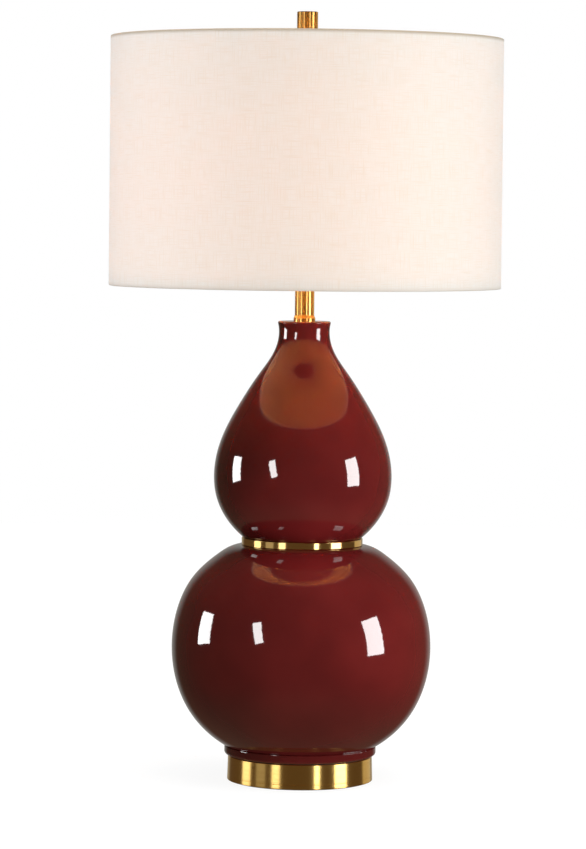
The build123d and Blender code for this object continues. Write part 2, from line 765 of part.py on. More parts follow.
with BuildPart() as screw_shell:
    screw_shell_outer = screw_shell_bore + 2 * screw_shell_wall
    disc(core_top, screw_shell_height, screw_shell_outer, screw_shell_bore)
    disc(core_top, screw_shell_wall, screw_shell_outer, screw_shell_floor_bore)
screw_shell.part.label = "screw_shell"
export_step(screw_shell.part, "parts/screw_shell.step")

with BuildPart() as centre_contact:
    disc(core_top, contact_height, contact_diameter)
    fillet(centre_contact.faces().sort_by(Axis.Z)[-1].edges(), radius=contact_round)
centre_contact.part.label = "centre_contact"
export_step(centre_contact.part, "parts/centre_contact.step")

# ================================================================ turn switch
stem_end = stem_start + running_clearance + stem_length
with BuildPart() as switch_stem:
    with BuildSketch(Plane(origin=(0, -stem_start - running_clearance, stem_height), z_dir=(0, -1, 0))):
        Circle(stem_diameter / 2)
    extrude(amount=stem_length)
switch_stem.part.label = "switch_stem"
export_step(switch_stem.part, "parts/switch_stem.step")

knob_start = stem_end - knob_overlap
with BuildPart() as switch_knob:
    with BuildSketch(Plane(origin=(0, -knob_start, stem_height), z_dir=(0, -1, 0))):
        Circle(knob_diameter / 2)
    extrude(amount=knob_length)
    chamfer(switch_knob.faces().sort_by(Axis.Y)[0].edges(), length=knob_edge)
    with BuildSketch(Plane(origin=(0, -knob_start - knob_edge, stem_height), z_dir=(0, -1, 0))):
        with PolarLocations(knob_diameter / 2, knob_flutes):
            Circle(knob_flute_diameter / 2)
    extrude(amount=knob_length, mode=Mode.SUBTRACT)
    with BuildSketch(Plane(origin=(0, -knob_start, stem_height), z_dir=(0, -1, 0))):
        Circle(stem_diameter / 2)
    extrude(amount=knob_overlap, mode=Mode.SUBTRACT)
switch_knob.part.label = "switch_knob"
export_step(switch_knob.part, "parts/switch_knob.step")

# ================================================================ bulb
with BuildPart() as bulb_tip:
    disc(bulb_bottom, bulb_tip_height, bulb_tip_diameter)
    fillet(bulb_tip.faces().sort_by(Axis.Z)[0].edges(), radius=bulb_tip_round)
bulb_tip.part.label = "bulb_tip"
export_step(bulb_tip.part, "parts/bulb_tip.step")

bulb_cap_radius = bulb_cap_diameter / 2
bulb_cap_inner = bulb_cap_radius - bulb_cap_wall
with BuildPart() as bulb_insulator:
    turned((
        (0, bulb_tip_top),
        (bulb_cone_tip_diameter / 2, bulb_tip_top),
        (bulb_cap_radius - bulb_cap_chamfer, bulb_cone_top),
        (0, bulb_cone_top),
    ))
bulb_insulator.part.label = "bulb_insulator"
export_step(bulb_insulator.part, "parts/bulb_insulator.step")

with BuildPart() as bulb_cap:
    turned((
        (0, bulb_cone_top),
        (bulb_cap_radius - bulb_cap_chamfer, bulb_cone_top),
        (bulb_cap_radius, bulb_cone_top + bulb_cap_chamfer),
        (bulb_cap_radius, bulb_cap_top),
        (bulb_cap_inner, bulb_cap_top),
        (bulb_cap_inner, bulb_cone_top + bulb_cap_chamfer + bulb_cap_wall),
        (0, bulb_cone_top + bulb_cap_wall),
    ))
bulb_cap.part.label = "bulb_cap"
export_step(bulb_cap.part, "parts/bulb_cap.step")

globe_centre = bulb_top - bulb_globe_diameter / 2
glass_bottom = bulb_cap_top - bulb_cap_engagement


def bulb_body(globe_radius, neck_radius, mode=Mode.ADD):
    """Add or cut a bulb of a globe radius and a neck radius, turned round the axis."""
    shoulder = radians(-bulb_shoulder_angle)
    halfway = (pi / 2 + shoulder) / 2
    with BuildSketch(Plane.XZ) as outline:
        with BuildLine():
            crown = ThreePointArc(
                (0, globe_centre + globe_radius),
                (globe_radius * cos(halfway), globe_centre + globe_radius * sin(halfway)),
                (globe_radius * cos(shoulder), globe_centre + globe_radius * sin(shoulder)),
            )
            skirt = Spline(
                crown @ 1,
                (neck_radius, glass_bottom + bulb_neck_straight),
                tangents=(crown % 1, (0, -1)),
            )
            Polyline(skirt @ 1, (neck_radius, glass_bottom), (0, glass_bottom), crown @ 0)
        make_face()
    revolve(outline.sketch, axis=Axis.Z, mode=mode)


glass_neck_radius = bulb_cap_inner - running_clearance
with BuildPart() as bulb_globe:
    bulb_body(bulb_globe_diameter / 2, glass_neck_radius)
    bulb_body(
        bulb_globe_diameter / 2 - bulb_glass_wall,
        glass_neck_radius - bulb_glass_wall,
        mode=Mode.SUBTRACT,
    )
bulb_globe.part.label = "bulb_globe"
export_step(bulb_globe.part, "parts/bulb_globe.step")

# ================================================================ shade
shade_radius = shade_diameter / 2
with BuildPart() as shade_fabric:
    turned((
        (hem_inner, shade_bottom),
        (shade_radius, shade_bottom),
        (shade_radius, shade_top),
        (hem_inner, shade_top),
        (hem_inner, shade_top - hem_height),
        (hem_outer, shade_top - hem_height),
        (hem_outer, shade_top - fabric_thickness),
        (fabric_inner, shade_top - fabric_thickness),
        (fabric_inner, shade_bottom + fabric_thickness),
        (hem_outer, shade_bottom + fabric_thickness),
        (hem_outer, shade_bottom + hem_height),
        (hem_inner, shade_bottom + hem_height),
    ))
    for index in range(spider_arms):
        arm_way = Plane(
            origin=(0, 0, top_ring_height),
            z_dir=(sin(2 * pi * index / spider_arms), cos(2 * pi * index / spider_arms), 0),
        )
        with BuildSketch(arm_way):
            Circle(ring_wire / 2 + hem_clearance)
        extrude(amount=ring_radius, mode=Mode.SUBTRACT)
shade_fabric.part.label = "shade_fabric"
export_step(shade_fabric.part, "parts/shade_fabric.step")

with BuildPart() as shade_liner:
    liner_height = shade_height - 2 * liner_inset
    disc(shade_bottom + liner_inset, liner_height, 2 * fabric_inner, 2 * liner_inner)
shade_liner.part.label = "shade_liner"
export_step(shade_liner.part, "parts/shade_liner.step")

with BuildPart() as shade_bottom_ring:
    with BuildSketch(Plane.XZ):
        with Locations((ring_radius, bottom_ring_height)):
            Circle(ring_wire / 2)
    revolve(axis=Axis.Z)
shade_bottom_ring.part.label = "shade_bottom_ring"
export_step(shade_bottom_ring.part, "parts/shade_bottom_ring.step")

arm_height = hub_top + ring_wire / 2 - spider_weld
with BuildPart() as spider_frame:
    disc(hub_bottom, spider_hub_thickness, spider_hub_diameter, stud_diameter + 2 * running_clearance)
    with BuildSketch(Plane.XZ):
        with Locations((ring_radius, top_ring_height)):
            Circle(ring_wire / 2)
    revolve(axis=Axis.Z)
    for index in range(spider_arms):
        outward = (sin(2 * pi * index / spider_arms), cos(2 * pi * index / spider_arms))
        arm_points = [
            (radius * outward[0], radius * outward[1], height)
            for radius, height in (
                (spider_arm_start, arm_height),
                (spider_knee_inner, arm_height),
                (spider_knee_outer, top_ring_height),
                (ring_radius, top_ring_height),
            )
        ]
        with BuildLine():
            arm_line = FilletPolyline(*arm_points, radius=spider_bend_radius)
        with BuildSketch(Plane(origin=arm_line @ 0, z_dir=arm_line % 0)):
            Circle(ring_wire / 2)
        sweep(path=arm_line)
spider_frame.part.label = "spider_frame"
export_step(spider_frame.part, "parts/spider_frame.step")

# ================================================================ finial
with BuildPart() as finial:
    disc(finial_bottom, finial_length, finial_diameter)
    chamfer(finial.edges().filter_by(GeomType.CIRCLE), length=finial_edge)
    with BuildSketch(Plane.XY.offset(finial_bottom)):
        Circle(stud_diameter / 2 + running_clearance)
    extrude(amount=finial_bore_depth, mode=Mode.SUBTRACT)
finial.part.label = "finial"
export_step(finial.part, "parts/finial.step")

print(f"overall height {finial_top:.1f} mm, shade {shade_bottom:.1f} to {shade_top:.1f} mm")
print(f"straight wire above each ferrule {harp_leg_straight + tab_length - ferrule_length:.1f} mm")
print(f"room between bulb and harp {harp_top - harp_wire / 2 - bulb_top:.1f} mm")
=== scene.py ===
"""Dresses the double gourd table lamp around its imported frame.

Metres, +Z up, the lamp's axis on Z, its front towards -Y. Every sub-assembly is a class that finishes the
frame's own pieces and builds the ones that need more form: rolled threads, beaded brass, felt and linen.
"""

import logging
from collections.abc import Callable, Sequence
from dataclasses import dataclass, field
from enum import Enum
from math import cos, pi, radians, sin, tau

import bmesh
import bpy
import numpy as np
from bpy.types import Light, Material, Node, NodeSocket, NodeTree, Object
from mathutils import Matrix, Vector


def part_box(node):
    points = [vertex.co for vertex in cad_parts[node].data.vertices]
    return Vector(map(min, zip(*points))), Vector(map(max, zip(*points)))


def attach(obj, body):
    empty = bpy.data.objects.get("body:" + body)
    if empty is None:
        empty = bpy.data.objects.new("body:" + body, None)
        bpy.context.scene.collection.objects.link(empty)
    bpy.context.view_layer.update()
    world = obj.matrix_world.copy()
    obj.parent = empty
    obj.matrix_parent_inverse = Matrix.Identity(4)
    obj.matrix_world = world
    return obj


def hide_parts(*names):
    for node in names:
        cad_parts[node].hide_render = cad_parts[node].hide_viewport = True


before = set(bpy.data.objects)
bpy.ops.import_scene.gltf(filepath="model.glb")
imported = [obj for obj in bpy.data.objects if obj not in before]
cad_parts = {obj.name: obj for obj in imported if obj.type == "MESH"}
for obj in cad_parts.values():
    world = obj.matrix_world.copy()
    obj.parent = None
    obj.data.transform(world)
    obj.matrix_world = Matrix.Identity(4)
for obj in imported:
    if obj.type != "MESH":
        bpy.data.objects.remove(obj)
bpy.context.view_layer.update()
log = logging.getLogger("gourd_lamp")

MM = 0.001
MERGE_DISTANCE = 1e-7                     # metres; points closer than this are one point
NO_AREA = 1e-14                           # square metres; a smaller face is left out
NO_LENGTH = 1e-12                         # keeps a division by a vanishing length in bounds
LAMP_PITCH = 3.63 * MM                    # the medium screw base has seven threads to the inch


# ==================== colours and shader nodes
def linear(hex_colour: str) -> tuple[float, float, float, float]:
    """Turn an sRGB hex colour into the linear colour that shaders work with.

    Args:
        hex_colour: the colour, as #RRGGBB.

    Returns:
        Linear red, green and blue, and an alpha of one.
    """
    channels = np.array([int(hex_colour[start:start + 2], 16) for start in (1, 3, 5)]) / 255
    curved = ((channels + 0.055) / 1.055) ** 2.4
    return (*np.where(channels <= 0.04045, channels / 12.92, curved).tolist(), 1.0)


def add_node(
    tree: NodeTree,
    kind: str,
    inputs: dict[str | int, object] | None = None,
    **settings: object,
) -> Node:
    """Add one shader node with its settings, values and links.

    Args:
        tree: the node tree that gets the node.
        kind: the node's type, without the word ShaderNode.
        inputs: for an input's name or number, its value or the output socket that feeds it.
        settings: the node's own options.

    Returns:
        The new node.
    """
    node = tree.nodes.new("ShaderNode" + kind)
    for option, value in settings.items():
        setattr(node, option, value)
    for key, value in (inputs or {}).items():
        if isinstance(value, NodeSocket):
            tree.links.new(value, node.inputs[key])
        else:
            node.inputs[key].default_value = value
    return node


def mottled(
    tree: NodeTree, colours: tuple[str, str], size: float, detail: float
) -> tuple[NodeSocket, NodeSocket]:
    """Make a tone that drifts between two colours with a noise on the object's own coordinates.

    Args:
        tree: the material's node tree.
        colours: the sRGB colours at the noise's low end and at its high end.
        size: how far apart the patches lie, in metres.
        detail: how many finer layers the noise has.

    Returns:
        The tone, and the noise that it follows.
    """
    place = add_node(tree, "TexCoord").outputs["Object"]
    noise = add_node(
        tree, "TexNoise", {"Vector": place, "Scale": 1 / size, "Detail": detail}
    ).outputs["Fac"]
    low, high = (linear(colour) for colour in colours)
    tone = add_node(tree, "Mix", {0: noise, 6: low, 7: high}, data_type="RGBA").outputs[2]
    return tone, noise


def banded(
    tree: NodeTree, tone: NodeSocket, bands: Sequence[tuple[float, str]], width: float
) -> NodeSocket:
    """Lay soft bands of other colours over a tone.

    A band is full at its own height and fades out, on a smooth step, `width` above and below it.

    Args:
        tree: the material's node tree.
        tone: the colour under the bands.
        bands: each band's height in metres and its sRGB colour.
        width: how far a band reaches, in metres.

    Returns:
        The tone with its bands.
    """
    place = add_node(tree, "TexCoord").outputs["Object"]
    height = add_node(tree, "SeparateXYZ", {0: place}).outputs["Z"]
    for level, colour in bands:
        away = add_node(tree, "Math", {0: height, 1: level}, operation="SUBTRACT").outputs[0]
        away = add_node(tree, "Math", {0: away}, operation="ABSOLUTE").outputs[0]
        near = add_node(
            tree, "MapRange", {"Value": away, "From Max": width, "To Min": 1.0, "To Max": 0.0},
            interpolation_type="SMOOTHSTEP",
        ).outputs[0]
        tone = add_node(
            tree, "Mix", {0: near, 6: tone, 7: linear(colour)}, data_type="RGBA"
        ).outputs[2]
    return tone


def backlit(tree: NodeTree, face: Node, tone: NodeSocket, share: float) -> NodeSocket:
    """Let a share of the light through a thin face.

    Args:
        tree: the material's node tree.
        face: the shader of the lit side.
        tone: the colour that the light takes on its way through.
        share: how much of the light goes through.

    Returns:
        The shader output of the whole sheet.
    """
    through = add_node(tree, "BsdfTranslucent", {"Color": tone})
    return add_node(
        tree, "MixShader", {0: share, 1: face.outputs[0], 2: through.outputs[0]}
    ).outputs[0]


# ==================== finishes
@dataclass(frozen=True)
class Finish:
    """What a surface is made of and how it was worked."""

    name: str

    def surface(self, tree: NodeTree) -> NodeSocket:
        """Return the shader output that shows this finish."""
        raise NotImplementedError(self.name)

    def material(self) -> Material:
        """Make the finish's material when it is first asked for.

        Returns:
            The material, the same one each time.
        """
        made = bpy.data.materials.get(self.name)
        if made is None:
            made = bpy.data.materials.new(self.name)
            made.use_nodes = True
            made.node_tree.nodes.clear()
            add_node(made.node_tree, "OutputMaterial", {"Surface": self.surface(made.node_tree)})
        return made


@dataclass(frozen=True)
class OxbloodGlaze(Finish):
    """Gloss-fired oxblood glaze on stoneware.

    A thick glassy coat over an iron-red body: mirror-sharp highlights on a deep colour that drifts
    slowly where the coat pooled, a faint orange peel, and a paler, browner line along each sharp rim,
    where the coat ran thin and where a painted highlight stands in for the edge's glint.
    """

    name: str = "oxblood_glaze"
    colour: str = "#651A1A"
    pooled: str = "#561415"
    # paler line of thin glaze at the rims, which is also a painted highlight on the edge
    thin: str = "#8C4630"
    pool_size: float = 90 * MM
    pool_span: tuple[float, float] = (0.35, 0.65)   # noise values between which the coat thickens
    peel_size: float = 9 * MM
    peel_depth: float = 0.012 * MM
    rims: tuple[float, ...] = ()          # heights where the coat ran thin over an edge, with a painted highlight along it
    rim_width: float = 1.1 * MM
    roughness: float = 0.045
    ior: float = 1.65                     # a lead-rich glaze, glassier than window glass

    def surface(self, tree: NodeTree) -> NodeSocket:
        """Build the finish's nodes.

        Args:
            tree: the material's node tree.

        Returns:
            The shader output.
        """
        place = add_node(tree, "TexCoord").outputs["Object"]
        pools = add_node(tree, "TexNoise", {"Vector": place, "Scale": 1 / self.pool_size, "Detail": 2.0})
        drift = add_node(tree, "MapRange", {
            "Value": pools.outputs["Fac"],
            "From Min": self.pool_span[0],
            "From Max": self.pool_span[1],
        })
        body = add_node(
            tree, "Mix",
            {0: drift.outputs[0], 6: linear(self.colour), 7: linear(self.pooled)},
            data_type="RGBA",
        ).outputs[2]
        # the rim bands mix real thin glaze with a painted highlight along each edge
        body = banded(tree, body, [(rim, self.thin) for rim in self.rims], self.rim_width)
        peel = add_node(tree, "TexNoise", {"Vector": place, "Scale": 1 / self.peel_size, "Detail": 1.0})
        relief = add_node(
            tree, "Bump", {"Height": peel.outputs["Fac"], "Distance": self.peel_depth, "Strength": 1.0}
        )
        return add_node(tree, "BsdfPrincipled", {
            "Base Color": body,
            "Roughness": self.roughness,
            "IOR": self.ior,
            "Normal": relief.outputs["Normal"],
        }).outputs[0]


class Working(Enum):
    """How a brass surface was finished: (roughness, anisotropy, groove depth in metres)."""

    BRUSHED = (0.24, 0.95, 0.003 * MM)
    POLISHED = (0.10, 0.3, 0.001 * MM)
    DRAWN = (0.2, 0.0, 0.003 * MM)
    STAMPED = (0.3, 0.0, 0.004 * MM)


@dataclass(frozen=True)
class Brass(Finish):
    """Turned and lacquered brass.

    The tool or the abrasive leaves fine grooves round the axis, so a light is drawn out at right
    angles to them into a tall streak, and the streak is crossed by hair-fine rings of darker and
    brighter metal.
    """

    name: str = "brushed_brass_turned"
    working: Working = Working.BRUSHED
    colour: str = "#FBD785"
    groove_colour: str = "#EBC06A"
    groove_spacing: float = 0.9 * MM      # the real grooves, 0.1 mm apart, are too fine to show
    groove_run: float = 1.6               # how often a groove's depth changes round the axis
    dulling: float = 0.25                 # how much rougher the grooves are, as a share
    upright: float = 0.25                 # turns from the grooves' run to the streak's

    def surface(self, tree: NodeTree) -> NodeSocket:
        """Build the finish's nodes.

        Args:
            tree: the material's node tree.

        Returns:
            The shader output.
        """
        roughness, anisotropy, depth = self.working.value
        place = add_node(tree, "TexCoord").outputs["Object"]
        flat = add_node(tree, "VectorMath", {0: place, 1: (1, 1, 0)}, operation="MULTIPLY").outputs[0]
        radius = add_node(tree, "VectorMath", {0: flat}, operation="LENGTH").outputs["Value"]
        way = add_node(tree, "VectorMath", {0: flat}, operation="NORMALIZE").outputs[0]
        height = add_node(tree, "SeparateXYZ", {0: place}).outputs["Z"]
        across = add_node(tree, "Math", {0: radius, 1: height}, operation="ADD").outputs[0]
        ring = add_node(tree, "Math", {0: across, 1: self.groove_spacing}, operation="DIVIDE").outputs[0]
        turn = add_node(tree, "VectorMath", {0: way, 1: (self.groove_run,) * 3}, operation="MULTIPLY")
        rings = add_node(tree, "CombineXYZ", {"Z": ring}).outputs[0]
        grain = add_node(tree, "VectorMath", {0: turn.outputs[0], 1: rings}, operation="ADD").outputs[0]
        grooves = add_node(
            tree, "TexNoise", {"Vector": grain, "Scale": 1.0, "Detail": 3.0, "Roughness": 0.65}
        ).outputs["Fac"]
        tone = add_node(
            tree, "Mix",
            {0: grooves, 6: linear(self.groove_colour), 7: linear(self.colour)},
            data_type="RGBA",
        ).outputs[2]
        dulled = add_node(tree, "MapRange", {
            "Value": grooves,
            "To Min": roughness * (1 + self.dulling),
            "To Max": roughness * (1 - self.dulling),
        }).outputs[0]
        relief = add_node(tree, "Bump", {"Height": grooves, "Distance": depth, "Strength": 1.0})
        round_axis = add_node(tree, "Tangent", direction_type="RADIAL", axis="Z")
        return add_node(tree, "BsdfPrincipled", {
            "Base Color": tone,
            "Metallic": 1.0,
            "Roughness": dulled,
            "Anisotropic": anisotropy,
            "Anisotropic Rotation": self.upright,
            "Tangent": round_axis.outputs[0],
            "Normal": relief.outputs["Normal"],
        }).outputs[0]


@dataclass(frozen=True)
class Grained(Finish):
    """A surface with one even grain: its tone, its gloss and its relief all follow the same noise."""

    name: str
    colour: str
    shade: str
    grain: float
    depth: float
    roughness: float
    metallic: float = 0.0
    detail: float = 3.0
    coat: float = 0.0
    dulling: float = 0.2                  # how much rougher the hollows are, as a share

    def surface(self, tree: NodeTree) -> NodeSocket:
        """Build the finish's nodes.

        Args:
            tree: the material's node tree.

        Returns:
            The shader output.
        """
        tone, grain = mottled(tree, (self.shade, self.colour), self.grain, self.detail)
        gloss = add_node(tree, "MapRange", {
            "Value": grain,
            "To Min": self.roughness * (1 + self.dulling),
            "To Max": self.roughness * (1 - self.dulling),
        }).outputs[0]
        relief = add_node(tree, "Bump", {"Height": grain, "Distance": self.depth, "Strength": 1.0})
        return add_node(tree, "BsdfPrincipled", {
            "Base Color": tone,
            "Metallic": self.metallic,
            "Roughness": gloss,
            "Coat Weight": self.coat,
            "Normal": relief.outputs["Normal"],
        }).outputs[0]


@dataclass(frozen=True)
class Linen(Finish):
    """Plain-woven linen laminated to its lining.

    Slubby threads cross at right angles, so the cloth is matt, a little furry at a glancing angle,
    and mottled where thick threads pass. The lit lamp glows warmly through it. Both hems carry bands
    of painted shade.
    """

    name: str = "linen_cloth"
    colour: str = "#FBF6EF"
    thick_thread: str = "#F5EBDD"
    hem_shades: tuple[tuple[float, str], ...] = ()   # heights and colours of painted shade along the folded edges
    hem_width: float = 4.5 * MM
    thread: float = 0.9 * MM              # the real threads, 0.4 mm apart, are too fine to show
    slub: float = 22 * MM
    slub_span: tuple[float, float] = (0.45, 0.8)    # noise values between which a thread thickens
    relief_depth: float = 0.015 * MM
    let_through: float = 0.4
    roughness: float = 0.9

    def surface(self, tree: NodeTree) -> NodeSocket:
        """Build the finish's nodes.

        Args:
            tree: the material's node tree.

        Returns:
            The shader output.
        """
        cloth = add_node(tree, "UVMap", uv_map=SURFACE_MAP).outputs["UV"]
        threads = []
        for scale in ((1 / self.slub, 1 / self.thread, 1), (1 / self.thread, 1 / self.slub, 1)):
            run = add_node(tree, "VectorMath", {0: cloth, 1: scale}, operation="MULTIPLY").outputs[0]
            threads.append(add_node(
                tree, "TexNoise", {"Vector": run, "Scale": 1.0, "Detail": 2.0}
            ).outputs["Fac"])
        weave = add_node(tree, "Math", {0: threads[0], 1: threads[1]}, operation="MAXIMUM").outputs[0]
        slubs = add_node(tree, "MapRange", {
            "Value": weave, "From Min": self.slub_span[0], "From Max": self.slub_span[1]
        }).outputs[0]
        tone = add_node(
            tree, "Mix", {0: slubs, 6: linear(self.colour), 7: linear(self.thick_thread)},
            data_type="RGBA",
        ).outputs[2]
        # painted shade: darker bands at both hems stand in for the shade where the wire and the doubled
        # cloth hold back the glow
        tone = banded(tree, tone, self.hem_shades, self.hem_width)
        relief = add_node(tree, "Bump", {"Height": weave, "Distance": self.relief_depth, "Strength": 1.0})
        face = add_node(tree, "BsdfPrincipled", {
            "Base Color": tone,
            "Roughness": self.roughness,
            "Specular IOR Level": 0.2,
            "Sheen Weight": 0.1,
            "Normal": relief.outputs["Normal"],
        })
        return backlit(tree, face, tone, self.let_through)


@dataclass(frozen=True)
class ShadeLining(Finish):
    """Cream styrene sheet behind the cloth: smooth, faintly satin and translucent."""

    name: str = "styrene_lining"
    colour: str = "#F8ECD8"
    cloudy: str = "#F1E4CE"
    cloud_size: float = 14 * MM
    let_through: float = 0.4
    roughness: float = 0.55

    def surface(self, tree: NodeTree) -> NodeSocket:
        """Build the finish's nodes.

        Args:
            tree: the material's node tree.

        Returns:
            The shader output.
        """
        tone, _ = mottled(tree, (self.colour, self.cloudy), self.cloud_size, detail=2.0)
        face = add_node(tree, "BsdfPrincipled", {"Base Color": tone, "Roughness": self.roughness})
        return backlit(tree, face, tone, self.let_through)


@dataclass(frozen=True)
class FrostedBulb(Finish):
    """Glass etched inside, with the lamp lit: an even warm white glow under a soft gloss."""

    name: str = "frosted_bulb_glass"
    colour: str = "#F4F1EA"
    etched: str = "#E9E5DC"
    glow: tuple[float, float, float, float] = (1.0, 0.385, 0.095, 1.0)   # a warm filament, linear
    brightness: float = 50.0
    etch_size: float = 4 * MM
    roughness: float = 0.35

    def surface(self, tree: NodeTree) -> NodeSocket:
        """Build the finish's nodes.

        Args:
            tree: the material's node tree.

        Returns:
            The shader output.
        """
        tone, _ = mottled(tree, (self.colour, self.etched), self.etch_size, detail=3.0)
        return add_node(tree, "BsdfPrincipled", {
            "Base Color": tone,
            "Roughness": self.roughness,
            "Emission Color": self.glow,
            "Emission Strength": self.brightness,
        }).outputs[0]


# Electroplated zinc on steel: cold grey, satin, very faintly mottled by the bath.
ZINC = Grained("zinc_plated_steel", "#C4C5C8", "#A9ABAE", 3 * MM, 0.003 * MM, 0.3, metallic=1.0)
# Sand-cast grey iron, painted against rust: dull and pitted like coarse sandpaper.
CAST_IRON = Grained("sand_cast_iron", "#3A3A3D", "#232325", 1.6 * MM, 0.25 * MM, 0.72, detail=5.0)
# Pressed wool felt: no gloss at all, a soft tangle of fibres.
FELT = Grained("pressed_wool_felt", "#3B3634", "#221F1E", 0.8 * MM, 0.3 * MM, 1.0, detail=6.0)
# Moulded black rubber: dark, with a dry bloom on it.
RUBBER = Grained("moulded_rubber", "#2A2927", "#1B1A19", 2.2 * MM, 0.02 * MM, 0.62)
# Moulded nylon: fine spark texture of the mould, a soft wide gloss.
NYLON = Grained("moulded_black_nylon", "#262626", "#191919", 0.5 * MM, 0.01 * MM, 0.42)
# Phenolic moulding: dark brown-black, flow marks under a waxy gloss.
PHENOLIC = Grained("phenolic_moulding", "#2E2119", "#1D1511", 7 * MM, 0.01 * MM, 0.3, detail=5.0)
# Pressed fibre board: tan, fibrous and matt.
FIBRE_BOARD = Grained("pressed_fibre_board", "#B79F77", "#93794F", 0.7 * MM, 0.03 * MM, 0.85, detail=6.0)
# Rolled aluminium shell: pale, soft satin with rolling marks.
ALUMINIUM = Grained("rolled_aluminium", "#E4E5E6", "#CDCFD1", 1.8 * MM, 0.004 * MM, 0.27, metallic=1.0)
# Tin solder frozen in a drop: bright where smooth, frosted where it grained.
SOLDER = Grained("tin_solder", "#CFCFCB", "#A5A6A4", 1.1 * MM, 0.03 * MM, 0.38, metallic=1.0)
# Black glass pressed round the contact: deep black with a wet gloss.
BLACK_GLASS = Grained("pressed_black_glass", "#121217", "#0C0C10", 2 * MM, 0.005 * MM, 0.12, coat=0.5)
# White powder coat on wire: cream white, softly pebbled.
POWDER_COAT = Grained("white_powder_coat", "#F2F0EA", "#E6E3DB", 0.6 * MM, 0.015 * MM, 0.45)
# Stamped socket brass under a thin lacquer: yellower and duller than the turned parts.
SOCKET_BRASS = Brass("stamped_socket_brass", Working.STAMPED, "#E9CB86", "#D2AE62", 1.4 * MM)
BRUSHED_BRASS = Brass()
POLISHED_BRASS = Brass("polished_brass_turned", Working.POLISHED, "#F2D08A", "#E7C077", 0.6 * MM)
DRAWN_BRASS = Brass("brass_plated_wire", Working.DRAWN, "#EBC987", "#DDB56B", 0.8 * MM)
LINING = ShadeLining()
BULB_GLASS = FrostedBulb()


# ==================== surfaces
SURFACE_MAP = "surface"
Swell = Callable[[np.ndarray, np.ndarray, np.ndarray], np.ndarray]    # of angle, radius and height
Corner = tuple[float, float, float]       # radius, height and rounding


def outline(corners: Sequence[Corner], longest: float = 4 * MM, arc_steps: int = 5) -> np.ndarray:
    """Return the points of a closed (radius, height) outline with rounded corners.

    Each corner's arc touches both of its sides. Its ends lie rounding / tan(half the corner's angle)
    from the corner, its middle point lies on the corner's bisector, and the points between turn at an
    even rate from one end to the other. A side longer than `longest` is divided evenly.

    Args:
        corners: (radius, height, rounding) of each corner, counter-clockwise.
        longest: the longest step along a side.
        arc_steps: steps in each rounded corner.

    Returns:
        An array of (radius, height) rows, without its first row repeated at the end.
    """
    table = np.array(corners, float)
    tip, rounding = table[:, :2], table[:, 2, None]
    back, ahead = np.roll(tip, 1, axis=0) - tip, np.roll(tip, -1, axis=0) - tip
    back /= np.linalg.norm(back, axis=1, keepdims=True)
    ahead /= np.linalg.norm(ahead, axis=1, keepdims=True)
    half = np.arccos(np.clip((back * ahead).sum(1, keepdims=True), -1, 1)) / 2
    bisector = back + ahead
    bisector /= np.maximum(np.linalg.norm(bisector, axis=1, keepdims=True), NO_LENGTH)
    centre = tip + bisector * rounding / np.sin(half)
    first = tip + back * rounding / np.tan(half) - centre
    last = tip + ahead * rounding / np.tan(half) - centre
    opening = pi - 2 * half
    share = np.linspace(0, 1, arc_steps + 1)[None, :, None]
    spread = np.maximum(np.sin(opening), NO_LENGTH)[:, None]
    turn = opening[:, None]
    arcs = (np.sin((1 - share) * turn) * first[:, None] + np.sin(share * turn) * last[:, None]) / spread
    arcs = centre[:, None] + np.where(rounding[:, None] > 0, arcs, 0)
    points = []
    for number, arc in enumerate(arcs):
        following = arcs[(number + 1) % len(arcs)][0]
        steps = max(1, int(np.ceil(np.linalg.norm(following - arc[-1]) / longest)))
        points.append(arc if table[number, 2] > 0 else arc[:1])
        points.append(arc[-1] + (following - arc[-1]) * (np.arange(1, steps) / steps)[:, None])
    return np.concatenate(points)


def mesh_piece(name: str, points: np.ndarray, surface: np.ndarray, sharp: float = 32.0) -> Object:
    """Put a closed grid of points into a mesh piece.

    Point (i, j) joins (i, j + 1), (i + 1, j + 1) and (i + 1, j) in one face. The row after the last is
    the first one again. The last column lies on the first, and both are merged after the map is set.

    Args:
        name: the piece's name.
        points: the grid, with shape (rows, columns, 3).
        surface: each point's place on the unrolled surface in metres, with shape (rows, columns, 2).
        sharp: edges that turn by more than this many degrees stay sharp.

    Returns:
        The new object, linked to the scene at the origin.
    """
    rows, columns = points.shape[:2]
    row = np.arange(rows)[:, None] * columns
    above = np.roll(row, -1, axis=0)
    column = np.arange(columns - 1)[None, :]
    faces = np.stack([row + column, row + column + 1, above + column + 1, above + column], axis=-1)
    mesh = bpy.data.meshes.new(name)
    mesh.from_pydata(points.reshape(-1, 3).tolist(), [], faces.reshape(-1, 4).tolist())
    unrolled = surface.reshape(-1, 2)
    corners = np.empty(len(mesh.loops), np.int32)
    mesh.loops.foreach_get("vertex_index", corners)
    mesh.uv_layers.new(name=SURFACE_MAP).data.foreach_set("uv", unrolled[corners].ravel())
    shape = bmesh.new()
    shape.from_mesh(mesh)
    bmesh.ops.remove_doubles(shape, verts=shape.verts, dist=MERGE_DISTANCE)
    slivers = [face for face in shape.faces if face.calc_area() < NO_AREA]
    bmesh.ops.delete(shape, geom=slivers, context="FACES")
    shape.to_mesh(mesh)
    shape.free()
    mesh.shade_smooth()
    mesh.set_sharp_from_angle(angle=radians(sharp))
    piece = bpy.data.objects.new(name, mesh)
    bpy.context.scene.collection.objects.link(piece)
    return piece


